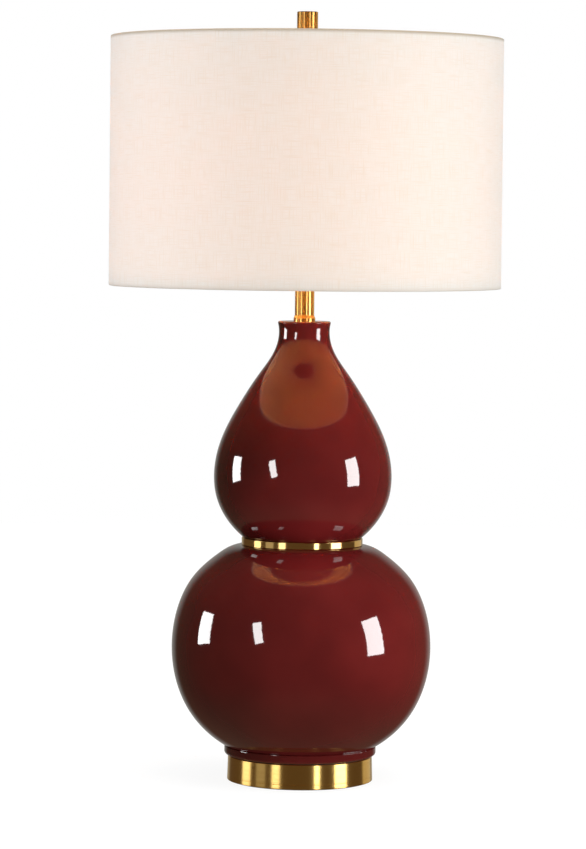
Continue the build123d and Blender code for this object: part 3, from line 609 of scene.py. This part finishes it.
def turned(name: str, profile: np.ndarray, segments: int = 128, swell: Swell | None = None) -> Object:
    """Carry a closed outline round the lamp's axis.

    The point of row i and column j lies at the outline's radius r(i) plus the swell, at the angle
    a(j) = j full turns / segments: (r cos a, r sin a, z(i)).

    Args:
        name: the piece's name.
        profile: (radius, height) rows, counter-clockwise, so that the faces point outwards.
        segments: faces round the axis.
        swell: what is added to the radius, from (angle, radius, height) arrays.

    Returns:
        The new object.
    """
    angle = np.linspace(0, tau, segments + 1)[None, :]
    radius = profile[:, 0, None] + 0 * angle
    height = profile[:, 1, None] + 0 * angle
    if swell is not None:
        radius = radius + swell(angle, radius, height)
    way = np.linspace(0, tau, segments + 1)
    way[-1] = 0.0
    points = np.stack([radius * np.cos(way), radius * np.sin(way), height], axis=-1)
    step = np.linalg.norm(np.diff(profile, axis=0, append=profile[:1]), axis=1)
    run = np.concatenate([[0.0], np.cumsum(step)[:-1]])[:, None]
    surface = np.stack([angle * profile[:, 0].max() + 0 * run, run + 0 * angle], axis=-1)
    return mesh_piece(name, points, surface)


def rod(name: str, start: Vector, way: Vector, radius: float, segments: int = 48) -> Object:
    """Make a plain round bar, used to bore a hole.

    It is a circle of the given radius, square to `way`, carried from `start` along `way`, with both
    ends closed by a row of points on the bar's own axis.

    Args:
        name: the bar's name.
        start: the middle of its first end.
        way: from the first end's middle to the other's.
        radius: of the bar.
        segments: faces round it.

    Returns:
        The new object.
    """
    across = way.orthogonal().normalized()
    upwards = way.normalized().cross(across)
    angle = np.linspace(0, tau, segments + 1)[None, :, None]
    ring = radius * (np.cos(angle) * np.array(across) + np.sin(angle) * np.array(upwards))
    width = np.array([0.0, 1.0, 1.0, 0.0])[:, None, None]
    along = np.array([0.0, 0.0, 1.0, 1.0])[:, None, None]
    points = np.array(start) + along * np.array(way) + width * ring
    return mesh_piece(name, points, np.zeros(points.shape[:2] + (2,)))


def bored(piece: Object, bars: Sequence[Object]) -> Object:
    """Cut bars out of a piece and throw the bars away.

    Args:
        piece: the piece that gets the holes.
        bars: closed shapes where the holes go.

    Returns:
        The same piece, with its new mesh.
    """
    for bar in bars:
        cut = piece.modifiers.new("bore", "BOOLEAN")
        cut.operation = "DIFFERENCE"
        cut.solver = "EXACT"
        cut.object = bar
    bpy.context.view_layer.update()
    whole = piece.evaluated_get(bpy.context.evaluated_depsgraph_get())
    old = piece.data
    piece.data = bpy.data.meshes.new_from_object(whole)
    piece.data.name = piece.name
    piece.modifiers.clear()
    bpy.data.meshes.remove(old)
    for bar in bars:
        bpy.data.meshes.remove(bar.data)
    return piece


@dataclass(frozen=True)
class RolledThread:
    """A rounded thread rolled into a thin shell."""

    pitch: float
    depth: float
    bottom: float
    top: float
    outwards: bool = False

    def swell(self, angle: np.ndarray, radius: np.ndarray, height: np.ndarray) -> np.ndarray:
        """Return what the thread adds to the radius.

        It is a cosine of the height in pitches less the angle in turns, which climbs one pitch a turn.
        It fades over half a pitch at both ends of the threaded length.

        Args:
            angle: round the axis.
            radius: of the plain shell.
            height: above the table.

        Returns:
            The added radius, in metres.
        """
        wave = np.cos(tau * height / self.pitch - angle) / 2
        fade = np.clip(np.minimum(height - self.bottom, self.top - height) / (self.pitch / 2), 0, 1)
        shift = 0.5 if self.outwards else -0.5
        return self.depth * (wave + shift) * fade


# ==================== sub-assemblies
@dataclass
class SubAssembly:
    """A group of the lamp's pieces that belong together on the bench."""

    name: str = ""
    kept: dict[str, Finish] = field(default_factory=dict)     # finishes of the frame's own nodes
    made: list[Object] = field(default_factory=list)

    def dress(self) -> None:
        """Give each kept node its finish."""
        for node, finish in self.kept.items():
            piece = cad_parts[node]
            for place in piece.material_slots:
                place.material = finish.material()
            log.info("%s: %s finished as %s", self.name, node, finish.name)

    def place(self, piece: Object, finish: Finish, body: str, slot: str, *nodes: str) -> Object:
        """Finish a new piece, let it ride on a body and let it stand for nodes.

        Args:
            piece: the new piece.
            finish: what it is made of.
            body: the frame's body that it moves with.
            slot: not used.
            nodes: the frame's nodes that it stands for.

        Returns:
            The same piece.
        """
        piece.data.materials.clear()
        piece.data.materials.append(finish.material())
        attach(piece, body)
        if nodes:
            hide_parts(*nodes)
        self.made.append(piece)
        log.info("%s: %s made for %s", self.name, piece.name, ", ".join(nodes) or "itself")
        return piece

    def build(self) -> None:
        """Make the group's own pieces."""


@dataclass
class Foot(SubAssembly):
    """The brass foot drum with its felt, iron weight, nuts, gasket and cord outlet."""

    name: str = "foot"
    felt_round: float = 0.5 * MM
    felt_rings: int = 12
    felt_segments: int = 240
    fuzz: float = 0.25 * MM
    fuzz_waves: tuple[int, int] = (90, 57)          # waves round the rim, without a common rhythm
    fuzz_phase: float = 1.3
    fuzz_start: float = 0.98                        # share of the radius that stays round
    wall: float = 1.2 * MM
    taper: float = 0.7 * MM
    rim_turn: float = 6.5 * MM
    rod_slip: float = 0.3 * MM
    top_round: float = 0.8 * MM
    bottom_round: float = 0.5 * MM
    inner_top_round: float = 0.5 * MM
    inner_bottom_round: float = 0.4 * MM
    lip_round: float = 0.2 * MM
    hole_round: float = 0.1 * MM
    bead_height: float = 4.6 * MM         # a fine turned line runs round the wall this far up
    bead_groove: float = 0.25 * MM
    bead_round: float = 0.05 * MM
    drum_segments: int = 256
    outlet_height: float = 11.0 * MM
    outlet_radius: float = 5.85 * MM
    kept: dict[str, Finish] = field(default_factory=lambda: {
        "base_weight": CAST_IRON,
        "rod_washer": ZINC,
        "rod_lock_washer": ZINC,
        "rod_nut": ZINC,
        "foot_gasket": RUBBER,
        "cord_bushing": NYLON,
    })

    def build(self) -> None:
        """Make the felt pad and the spun drum."""
        low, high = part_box("felt_pad")
        edge = high.x
        profile = outline([
            (0.0, low.z, 0.0),
            (edge, low.z, self.felt_round),
            (edge, high.z, self.felt_round),
            (0.0, high.z, 0.0),
        ], longest=edge / self.felt_rings)
        felt = turned("felt_disc", profile, self.felt_segments, self.ragged)
        self.place(felt, FELT, "lamp_stand", "felt", "felt_pad")
        self.drum()

    def ragged(self, angle: np.ndarray, radius: np.ndarray, height: np.ndarray) -> np.ndarray:
        """Return how far the felt's cut edge is drawn in.

        It is the sum of two sine waves of unlike counts, scaled to lie between nothing and `fuzz`.

        Args:
            angle: round the axis.
            radius: of the plain disc.
            height: above the table.

        Returns:
            What is added to the radius, in metres, never more than nothing.
        """
        first, second = self.fuzz_waves
        wave = np.sin(first * angle) + np.sin(second * angle + self.fuzz_phase)
        at_rim = radius / radius.max() > self.fuzz_start
        return np.where(at_rim, self.fuzz * (wave - 2) / 4, 0.0)

    def drum(self) -> None:
        """Make the spun brass drum.

        Its outline runs up the tapered wall, over the rounded shoulder, in to the rod's hole and back
        inside at the wall's thickness. The cord's outlet is bored through the back.
        """
        low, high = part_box("base_drum")
        bottom_radius = high.x
        top_radius = bottom_radius - self.taper
        rod_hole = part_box("threaded_rod")[1].x + self.rod_slip
        slope = (top_radius - bottom_radius) / (high.z - low.z)
        line = low.z + self.bead_height
        groove = self.bead_groove

        def wall_radius(height: float) -> float:
            """Return the wall's outer radius at a height."""
            return bottom_radius + slope * (height - low.z)

        profile = outline([
            (bottom_radius - self.rim_turn, low.z, self.lip_round),
            (bottom_radius, low.z, self.bottom_round),
            (wall_radius(line - groove), line - groove, self.bead_round),
            (wall_radius(line) - groove, line, self.bead_round),
            (wall_radius(line + groove), line + groove, self.bead_round),
            (top_radius, high.z, self.top_round),
            (rod_hole, high.z, self.hole_round),
            (rod_hole, high.z - self.wall, self.hole_round),
            (top_radius - self.wall, high.z - self.wall, self.inner_top_round),
            (bottom_radius - self.wall, low.z + self.wall, self.inner_bottom_round),
            (bottom_radius - self.rim_turn, low.z + self.wall, self.lip_round),
        ])
        drum = turned("foot_drum", profile, self.drum_segments)
        start = Vector((0, bottom_radius / 2, self.outlet_height))
        bored(drum, [rod("bore", start, Vector((0, bottom_radius, 0)), self.outlet_radius)])
        self.place(drum, BRUSHED_BRASS, "lamp_stand", "brushed_brass", "base_drum")


@dataclass
class GourdBody(SubAssembly):
    """The two glazed gourds with the brass band between them."""

    name: str = "gourds"

    def __post_init__(self) -> None:
        """Glaze the gourds, with the coat run thin, and a painted highlight, over the collar's edge and
        the mouth.
        """
        glaze = OxbloodGlaze(rims=(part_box("lower_gourd")[0].z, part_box("upper_gourd")[1].z))
        self.kept = {"lower_gourd": glaze, "upper_gourd": glaze, "waist_band": POLISHED_BRASS}


@dataclass
class Neck(SubAssembly):
    """The brass tube on the upper gourd's mouth, its bushes and the rod inside."""

    name: str = "neck"
    kept: dict[str, Finish] = field(default_factory=lambda: {
        "threaded_rod": ZINC,
        "neck_tube": BRUSHED_BRASS,
        "lower_tube_bush": ZINC,
        "upper_tube_bush": BRUSHED_BRASS,
        "top_locknut": ZINC,
    })


@dataclass
class Harp(SubAssembly):
    """The harp that carries the shade: saddle, bow, two sleeves and the stud."""

    name: str = "harp"
    kept: dict[str, Finish] = field(default_factory=lambda: {
        "harp_saddle": DRAWN_BRASS,
        "harp_bow": DRAWN_BRASS,
        "harp_ferrule_left": POLISHED_BRASS,
        "harp_ferrule_right": POLISHED_BRASS,
        "harp_stud": POLISHED_BRASS,
    })


@dataclass
class Socket(SubAssembly):
    """The lamp socket with its cap, shell, core, screw shell and turn switch."""

    name: str = "socket"
    thread_depth: float = 0.7 * MM
    plain_below: float = 1.5 * MM
    plain_above: float = 1.0 * MM
    shell_wall: float = 0.4 * MM
    shell_floor_round: float = 0.6 * MM
    shell_inner_round: float = 0.2 * MM
    shell_rim_round: float = 0.12 * MM
    floor_hole: float = 7.0 * MM
    thread_segments: int = 96
    row_step: float = 0.45 * MM
    cover_wall: float = 0.5 * MM
    cover_round: float = 0.1 * MM
    cover_rim_round: float = 0.2 * MM
    bead_heights: tuple[float, ...] = (0.5385, 0.5545)    # metres above the table
    bead_width: float = 1.3 * MM
    bead_rise: float = 0.55 * MM
    rim_bead: float = 0.5 * MM
    stem_hole: float = 3.0 * MM
    cover_segments: int = 128
    kept: dict[str, Finish] = field(default_factory=lambda: {
        "socket_cap": SOCKET_BRASS,
        "cap_set_screw": ZINC,
        "socket_insulator": FIBRE_BOARD,
        "socket_core": PHENOLIC,
        "terminal_screws": ZINC,
        "centre_contact": SOCKET_BRASS,
        "switch_stem": SOCKET_BRASS,
        "switch_knob": PHENOLIC,
    })

    def beads(self, angle: np.ndarray, radius: np.ndarray, height: np.ndarray) -> np.ndarray:
        """Return how far the cover's rolled beads stand out.

        Each bead is a raised cosine of the height round its own middle, twice `bead_width` high. The
        one at the rim stays flush with the top edge, so only its lower half shows.

        Args:
            angle: round the axis.
            radius: of the plain cover.
            height: above the table.

        Returns:
            The added radius, in metres.
        """
        rises = [(middle, self.bead_rise) for middle in self.bead_heights]
        rises.append((float(height.max()), self.rim_bead))
        swell = 0 * height
        for middle, rise in rises:
            away = np.clip(np.abs(height - middle) / self.bead_width, 0, 1)
            swell = swell + rise * (1 + np.cos(pi * away)) / 2
        return swell

    def cover(self) -> None:
        """Make the stamped cover: a thin tube with rolled beads and a hole for the switch's stem."""
        low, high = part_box("socket_shell")
        outer, inner = high.x, high.x - self.cover_wall
        profile = outline([
            (inner, low.z, self.cover_round),
            (outer, low.z, self.cover_round),
            (outer, high.z, self.cover_rim_round),
            (inner, high.z, self.cover_round),
        ], longest=self.row_step)
        shell = turned("beaded_socket_shell", profile, self.cover_segments, self.beads)
        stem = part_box("switch_stem")
        start = Vector((0, -inner / 2, (stem[0].z + stem[1].z) / 2))
        bored(shell, [rod("bore", start, Vector((0, -outer, 0)), self.stem_hole)])
        self.place(shell, SOCKET_BRASS, "lamp_stand", "socket_brass", "socket_shell")

    def build(self) -> None:
        """Make the beaded cover and the screw shell with its rolled thread."""
        self.cover()
        low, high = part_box("screw_shell")
        outer = high.x
        inner = outer - self.shell_wall
        thread = RolledThread(
            LAMP_PITCH, self.thread_depth, low.z + self.plain_below, high.z - self.plain_above,
            outwards=True,
        )
        profile = outline([
            (self.floor_hole, low.z, 0.0),
            (outer, low.z, self.shell_floor_round),
            (outer, high.z, self.shell_rim_round),
            (inner, high.z, self.shell_rim_round),
            (inner, low.z + self.shell_wall, self.shell_inner_round),
            (self.floor_hole, low.z + self.shell_wall, 0.0),
        ], longest=self.row_step)
        shell = turned("threaded_screw_shell", profile, self.thread_segments, thread.swell)
        self.place(shell, ALUMINIUM, "lamp_stand", "aluminium", "screw_shell")


@dataclass
class Bulb(SubAssembly):
    """The frosted screw-base bulb."""

    name: str = "bulb"
    thread_depth: float = 0.75 * MM
    plain_below: float = 1.6 * MM
    plain_above: float = 3.2 * MM
    wall: float = 0.6 * MM
    chamfer: float = 1.2 * MM
    foot_round: float = 0.3 * MM
    side_round: float = 0.4 * MM
    rim_round: float = 0.2 * MM
    lip_round: float = 0.15 * MM
    thread_segments: int = 96
    row_step: float = 0.45 * MM
    kept: dict[str, Finish] = field(default_factory=lambda: {
        "bulb_tip": SOLDER,
        "bulb_insulator": BLACK_GLASS,
        "bulb_globe": BULB_GLASS,
    })

    def build(self) -> None:
        """Make the cap with its rolled thread."""
        low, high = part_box("bulb_cap")
        outer = high.x
        thread = RolledThread(
            LAMP_PITCH, self.thread_depth, low.z + self.plain_below, high.z - self.plain_above
        )
        profile = outline([
            (0.0, low.z, 0.0),
            (outer - self.chamfer, low.z, self.foot_round),
            (outer, low.z + self.chamfer, self.side_round),
            (outer, high.z, self.rim_round),
            (outer - self.wall, high.z, self.lip_round),
            (outer - self.wall, low.z + self.chamfer + self.wall, self.foot_round),
            (outer - self.chamfer - self.wall, low.z + self.wall, self.rim_round),
            (0.0, low.z + self.wall, 0.0),
        ], longest=self.row_step)
        cap = turned("threaded_bulb_cap", profile, self.thread_segments, thread.swell)
        self.place(cap, ALUMINIUM, "bulb", "aluminium", "bulb_cap")


@dataclass
class Shade(SubAssembly):
    """The linen drum shade on its lining, two wire rings and three arms."""

    name: str = "shade"
    cloth: float = 0.7 * MM
    ring_wire: float = 3.0 * MM
    hem: float = 10.0 * MM
    fold: float = 0.8 * MM
    cut_round: float = 0.2 * MM
    lap: float = 14.0 * MM
    lap_ease: float = 40.0 * MM
    lap_reach: float = 0.6                # how deep into the cloth the lap lifts it, as a share
    segments: int = 300
    row_step: float = 12 * MM
    arm_slit: float = 1.8 * MM
    slit_start: float = 4.0 * MM          # how far inside the hem a slit's cut starts
    arms: int = 3
    low_hem_shade: str = "#EDE4D9"            # painted shade on the lower hem, where the wire and the doubled cloth hold back the glow
    high_hem_shade: str = "#C8B59C"           # painted shade on the upper hem, darker than the lower one
    kept: dict[str, Finish] = field(default_factory=lambda: {
        "shade_liner": LINING,
        "shade_bottom_ring": POWDER_COAT,
        "spider_frame": POWDER_COAT,
    })

    def lapped(self, angle: np.ndarray, radius: np.ndarray, height: np.ndarray) -> np.ndarray:
        """Return how far the cloth stands out where its two ends lap at the back.

        Going round to the seam at +Y, the outer layer eases out by one cloth's thickness, on a smooth
        step over `lap_ease`, stays out over `lap`, and drops back at its cut edge.

        Args:
            angle: round the axis.
            radius: of the plain cloth.
            height: above the table.

        Returns:
            The added radius, in metres.
        """
        reach = radius.max()
        before = ((pi / 2 - angle + pi) % tau - pi) * reach
        rise = np.clip((self.lap + self.lap_ease - before) / self.lap_ease, 0, 1)
        rise = rise * rise * (3 - 2 * rise)
        inside = before >= 0
        outer_side = radius > reach - self.cloth * self.lap_reach
        return np.where(inside & outer_side, rise * self.cloth, 0.0)

    def build(self) -> None:
        """Make the linen skin, folded round both rings into a hem inside."""
        low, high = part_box("shade_fabric")
        ring_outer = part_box("shade_bottom_ring")[1].x
        outer = high.x
        inner = outer - self.cloth
        hem_outer = ring_outer - self.ring_wire
        hem_inner = hem_outer - self.cloth
        bend = self.fold + self.cloth / 2
        crease = self.fold - self.cloth / 2
        cut = self.cut_round
        profile = outline([
            (hem_inner, low.z, bend),
            (outer, low.z, bend),
            (outer, high.z, bend),
            (hem_inner, high.z, bend),
            (hem_inner, high.z - self.hem, cut),
            (hem_outer, high.z - self.hem, cut),
            (hem_outer, high.z - self.cloth, crease),
            (inner, high.z - self.cloth, crease),
            (inner, low.z + self.cloth, crease),
            (hem_outer, low.z + self.cloth, crease),
            (hem_outer, low.z + self.hem, cut),
            (hem_inner, low.z + self.hem, cut),
        ], longest=self.row_step)
        skin = turned("shade_linen", profile, self.segments, self.lapped)
        ring_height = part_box("spider_frame")[1].z - self.ring_wire / 2
        slit_inner = hem_inner - self.slit_start
        slits = []
        for number in range(self.arms):
            turn = tau * number / self.arms
            way = Vector((sin(turn), cos(turn), 0))
            slits.append(rod(
                f"slit_{number}",
                way * slit_inner + Vector((0, 0, ring_height)),
                way * (ring_outer - self.ring_wire / 2 - slit_inner),
                self.arm_slit,
            ))
        bored(skin, slits)
        # painted shade along both hems, the upper one darker
        cloth = Linen(hem_shades=((low.z, self.low_hem_shade), (high.z, self.high_hem_shade)))
        self.place(skin, cloth, "shade", "linen", "shade_fabric")


@dataclass
class Finial(SubAssembly):
    """The turned brass finial that clamps the shade."""

    name: str = "finial"
    kept: dict[str, Finish] = field(default_factory=lambda: {"finial": BRUSHED_BRASS})


# ==================== studio
@dataclass(frozen=True)
class Glow:
    """A soft light that only lights surfaces and isn't seen in the gloss."""

    name: str
    azimuth: float                        # degrees from the front, towards the right
    elevation: float                      # degrees above the table
    level: float                          # what a white surface that faces it sends back
    softness: float = 50.0                # degrees that the light is spread over
    colour: tuple[float, float, float] = (1.0, 1.0, 1.0)
    only: tuple[str, ...] = ()            # the pieces that it lights, or else all of them


@dataclass(frozen=True)
class Panel:
    """A tall soft box that only shows in the gloss, where it makes the window-like highlights."""

    name: str
    azimuth: float                        # degrees from the front, towards the right
    width: float
    bottom: float
    top: float
    radiance: float
    lean: float = 0.0                     # degrees that its upright edges lean over
    colour: tuple[float, float, float] = (1.0, 1.0, 1.0)
    glaze: bool = False                   # whether the gourds see it, or all the other pieces
    distance: float = 2.0


GOURDS = ("lower_gourd", "upper_gourd")
Tint = tuple[float, float, float, float]  # linear, with an alpha


@dataclass
class Studio:
    """A plain pale floor, soft light and the camera at the photograph's angle."""

    floor_radius: float = 3.0
    floor_depth: float = 2 * MM
    floor_segments: int = 64
    floor_grey: float = 0.12              # takes just enough light for the lamp's soft shadow
    floor_glow: float = 0.93
    sun_distance: float = 3.0
    middle: Vector = field(default_factory=lambda: Vector((0, 0, 0.35)))
    room: Tint = (0.10, 0.066, 0.042, 1)       # seen in the gloss, from the camera's side
    room_below: Tint = (0.14, 0.12, 0.075, 1)
    room_behind: Tint = (0.38, 0.37, 0.34, 1)
    below_span: tuple[float, float] = (-0.35, -0.85)    # how steeply down it turns to room_below
    behind_span: tuple[float, float] = (0.8, 0.97)      # how far back it turns to room_behind
    even: Tint = (0.08, 0.08, 0.08, 1)
    backdrop: Tint = (1, 1, 1, 1)
    lens: float = 157.38
    shift_up: float = -0.10
    eye: tuple[float, float, float] = (-0.0113, -3.7315, 0.5795)
    tilt: float = -0.0361
    roll: float = radians(0.6)
    glows: tuple[Glow, ...] = (
        Glow("key", 72, 4, 0.63),
        Glow("high_right", 45, 60, 0.49),
        Glow("top", 0, 80, 0.45),
        Glow("bounce", 6, -35, 0.31),
        Glow("upper_bounce", 36, -45, 0.55, only=("upper_gourd",)),
        Glow("lower_front", 32, 25, 0.22, only=("lower_gourd",)),
        Glow("back", 184, 12, 0.50, only=GOURDS),
        Glow("shade_left", -88, 30, 1.02, colour=(0.93, 1.0, 1.1), only=("shade_linen",)),
        Glow("shade_front", -5, -25, 0.31, only=("shade_linen",)),
        Glow("shade_right", 88, 5, 0.18, colour=(0.1, 0.6, 1.0), only=("shade_linen",)),
        Glow("shade_back", 165, 15, 0.42, colour=(0.9, 0.97, 1.05), only=("shade_linen",)),
    )
    panels: tuple[Panel, ...] = (
        Panel("window_left", -95.0, 0.52, 0.13, 0.80, 13.5, lean=9.0, glaze=True),
        Panel("window_mid", -39.0, 0.29, 0.36, 1.00, 13.5, lean=18.0, glaze=True),
        Panel("window_right", 67.0, 0.63, 0.02, 0.97, 13.5, lean=3.0, glaze=True),
        Panel("box_left", -93.2, 0.62, -0.55, 0.98, 1.8),
        Panel("box_dim", -64.0, 0.60, -0.55, 0.98, 0.35),
        Panel("box_mid", -38.0, 0.45, -0.55, 0.98, 2.1),
        Panel("box_front", 27.0, 0.28, -0.55, 0.98, 4.0),
        Panel("box_right", 67.4, 0.76, -0.55, 0.98, 4.2),
        Panel("box_far", 134.0, 1.147, -0.55, 0.98, 0.46, colour=(1.0, 0.9, 0.65)),
    )

    def aim(self, light: Light, name: str, place: Vector, target: Vector, lean: float = 0.0) -> Object:
        """Put a light at a place, facing a target.

        Args:
            light: the light's data.
            name: the new object's name.
            place: where it stands.
            target: what it faces.
            lean: degrees that it is turned round its own beam.

        Returns:
            The light's object, which no camera sees.
        """
        lamp = bpy.data.objects.new(name, light)
        bpy.context.scene.collection.objects.link(lamp)
        lamp.matrix_world = Matrix.Translation(place) @ (
            (target - place).to_track_quat("-Z", "Y").to_matrix().to_4x4()
        ) @ Matrix.Rotation(radians(lean), 4, "Z")
        lamp.visible_camera = False
        lamp.visible_transmission = False
        return lamp

    def restrict(self, lamp: Object, names: tuple[str, ...], state: str = "INCLUDE") -> None:
        """Choose the pieces that a light reaches. With no names it reaches all of them.

        Args:
            lamp: the light's object.
            names: the pieces' names.
            state: INCLUDE to reach only these, EXCLUDE to reach all but these.
        """
        if names:
            group = bpy.data.collections.new(lamp.name + "_reach")
            for piece in names:
                group.objects.link(bpy.data.objects[piece])
            for member in group.collection_objects:
                member.light_linking.link_state = state
            lamp.light_linking.receiver_collection = group

    def lights(self) -> None:
        """Make the soft lights and the panels."""
        for glow in self.glows:
            turn, rise = radians(glow.azimuth), radians(glow.elevation)
            way = Vector((sin(turn) * cos(rise), -cos(turn) * cos(rise), sin(rise)))
            sun = bpy.data.lights.new(glow.name, "SUN")
            sun.energy = glow.level * pi
            sun.angle = radians(glow.softness)
            sun.color = glow.colour
            lamp = self.aim(sun, glow.name, self.middle + way * self.sun_distance, self.middle)
            lamp.visible_glossy = False
            self.restrict(lamp, glow.only)
        for panel in self.panels:
            turn = radians(panel.azimuth)
            height = (panel.bottom + panel.top) / 2
            place = Vector((sin(turn) * panel.distance, -cos(turn) * panel.distance, height))
            box = bpy.data.lights.new(panel.name, "AREA")
            box.shape = "RECTANGLE"
            box.size, box.size_y = panel.width, panel.top - panel.bottom
            box.energy = panel.radiance * pi * box.size * box.size_y
            box.color = panel.colour
            lamp = self.aim(box, panel.name, place, Vector((0, 0, height)), panel.lean)
            lamp.visible_diffuse = False
            self.restrict(lamp, GOURDS, "INCLUDE" if panel.glaze else "EXCLUDE")

    def surroundings(self) -> None:
        """Make the white backdrop, the dim room seen in the gloss and the even light around."""
        world = bpy.data.worlds.new("studio")
        bpy.context.scene.world = world
        world.use_nodes = True
        tree = world.node_tree
        tree.nodes.clear()
        way = add_node(tree, "SeparateXYZ", {0: add_node(tree, "TexCoord").outputs["Generated"]})
        room = self.room
        for axis, span, tint in (
            ("Z", self.below_span, self.room_below),
            ("Y", self.behind_span, self.room_behind),
        ):
            share = add_node(
                tree, "MapRange",
                {"Value": way.outputs[axis], "From Min": span[0], "From Max": span[1]},
                interpolation_type="SMOOTHSTEP",
            ).outputs[0]
            room = add_node(tree, "Mix", {0: share, 6: room, 7: tint}, data_type="RGBA").outputs[2]
        ray = add_node(tree, "LightPath")
        seen = self.even
        for kind, tint in (("Is Glossy Ray", room), ("Is Camera Ray", self.backdrop)):
            seen = add_node(
                tree, "Mix", {0: ray.outputs[kind], 6: seen, 7: tint}, data_type="RGBA"
            ).outputs[2]
        sky = add_node(tree, "Background", {"Color": seen, "Strength": 1.0})
        add_node(tree, "OutputWorld", {"Surface": sky.outputs[0]})

    def floor(self) -> None:
        """Make the pale floor: a wide disc that glows almost as white as the backdrop."""
        profile = outline([
            (0, -self.floor_depth, 0),
            (self.floor_radius, -self.floor_depth, 0),
            (self.floor_radius, 0, 0),
            (0, 0, 0),
        ], longest=self.floor_radius)
        disc = turned("studio_floor", profile, self.floor_segments)
        paint = bpy.data.materials.new("pale_floor")
        paint.use_nodes = True
        tree = paint.node_tree
        tree.nodes.clear()
        face = add_node(tree, "BsdfPrincipled", {
            "Base Color": (*(self.floor_grey,) * 3, 1),
            "Roughness": 1.0,
            "Specular IOR Level": 0.0,
            "Emission Color": self.backdrop,
            "Emission Strength": self.floor_glow,
        })
        add_node(tree, "OutputMaterial", {"Surface": face.outputs[0]})
        disc.data.materials.append(paint)
        disc.visible_glossy = False
        disc.visible_shadow = False
        disc.visible_diffuse = False

    def camera(self) -> None:
        """Set the camera where the photograph was taken from."""
        view = bpy.data.cameras.new("camera")
        view.lens = self.lens
        view.shift_y = self.shift_up
        taker = bpy.data.objects.new("camera", view)
        bpy.context.scene.collection.objects.link(taker)
        taker.matrix_world = (
            Matrix.Translation(self.eye)
            @ Matrix.Rotation(pi / 2 + self.tilt, 4, "X")
            @ Matrix.Rotation(self.roll, 4, "Z")
        )
        bpy.context.scene.camera = taker

    def build(self) -> None:
        """Make the whole studio."""
        bpy.context.scene.view_settings.view_transform = "Standard"
        self.floor()
        self.surroundings()
        self.lights()
        self.camera()


def main() -> None:
    """Dress the lamp, sub-assembly by sub-assembly, and set up the studio."""
    logging.basicConfig(level=logging.INFO, format="%(message)s")
    for group in (Foot(), GourdBody(), Neck(), Harp(), Socket(), Bulb(), Shade(), Finial()):
        group.dress()
        group.build()
        log.info("%s: %d pieces made", group.name, len(group.made))
    Studio().build()


if __name__ == "__main__":
    main()
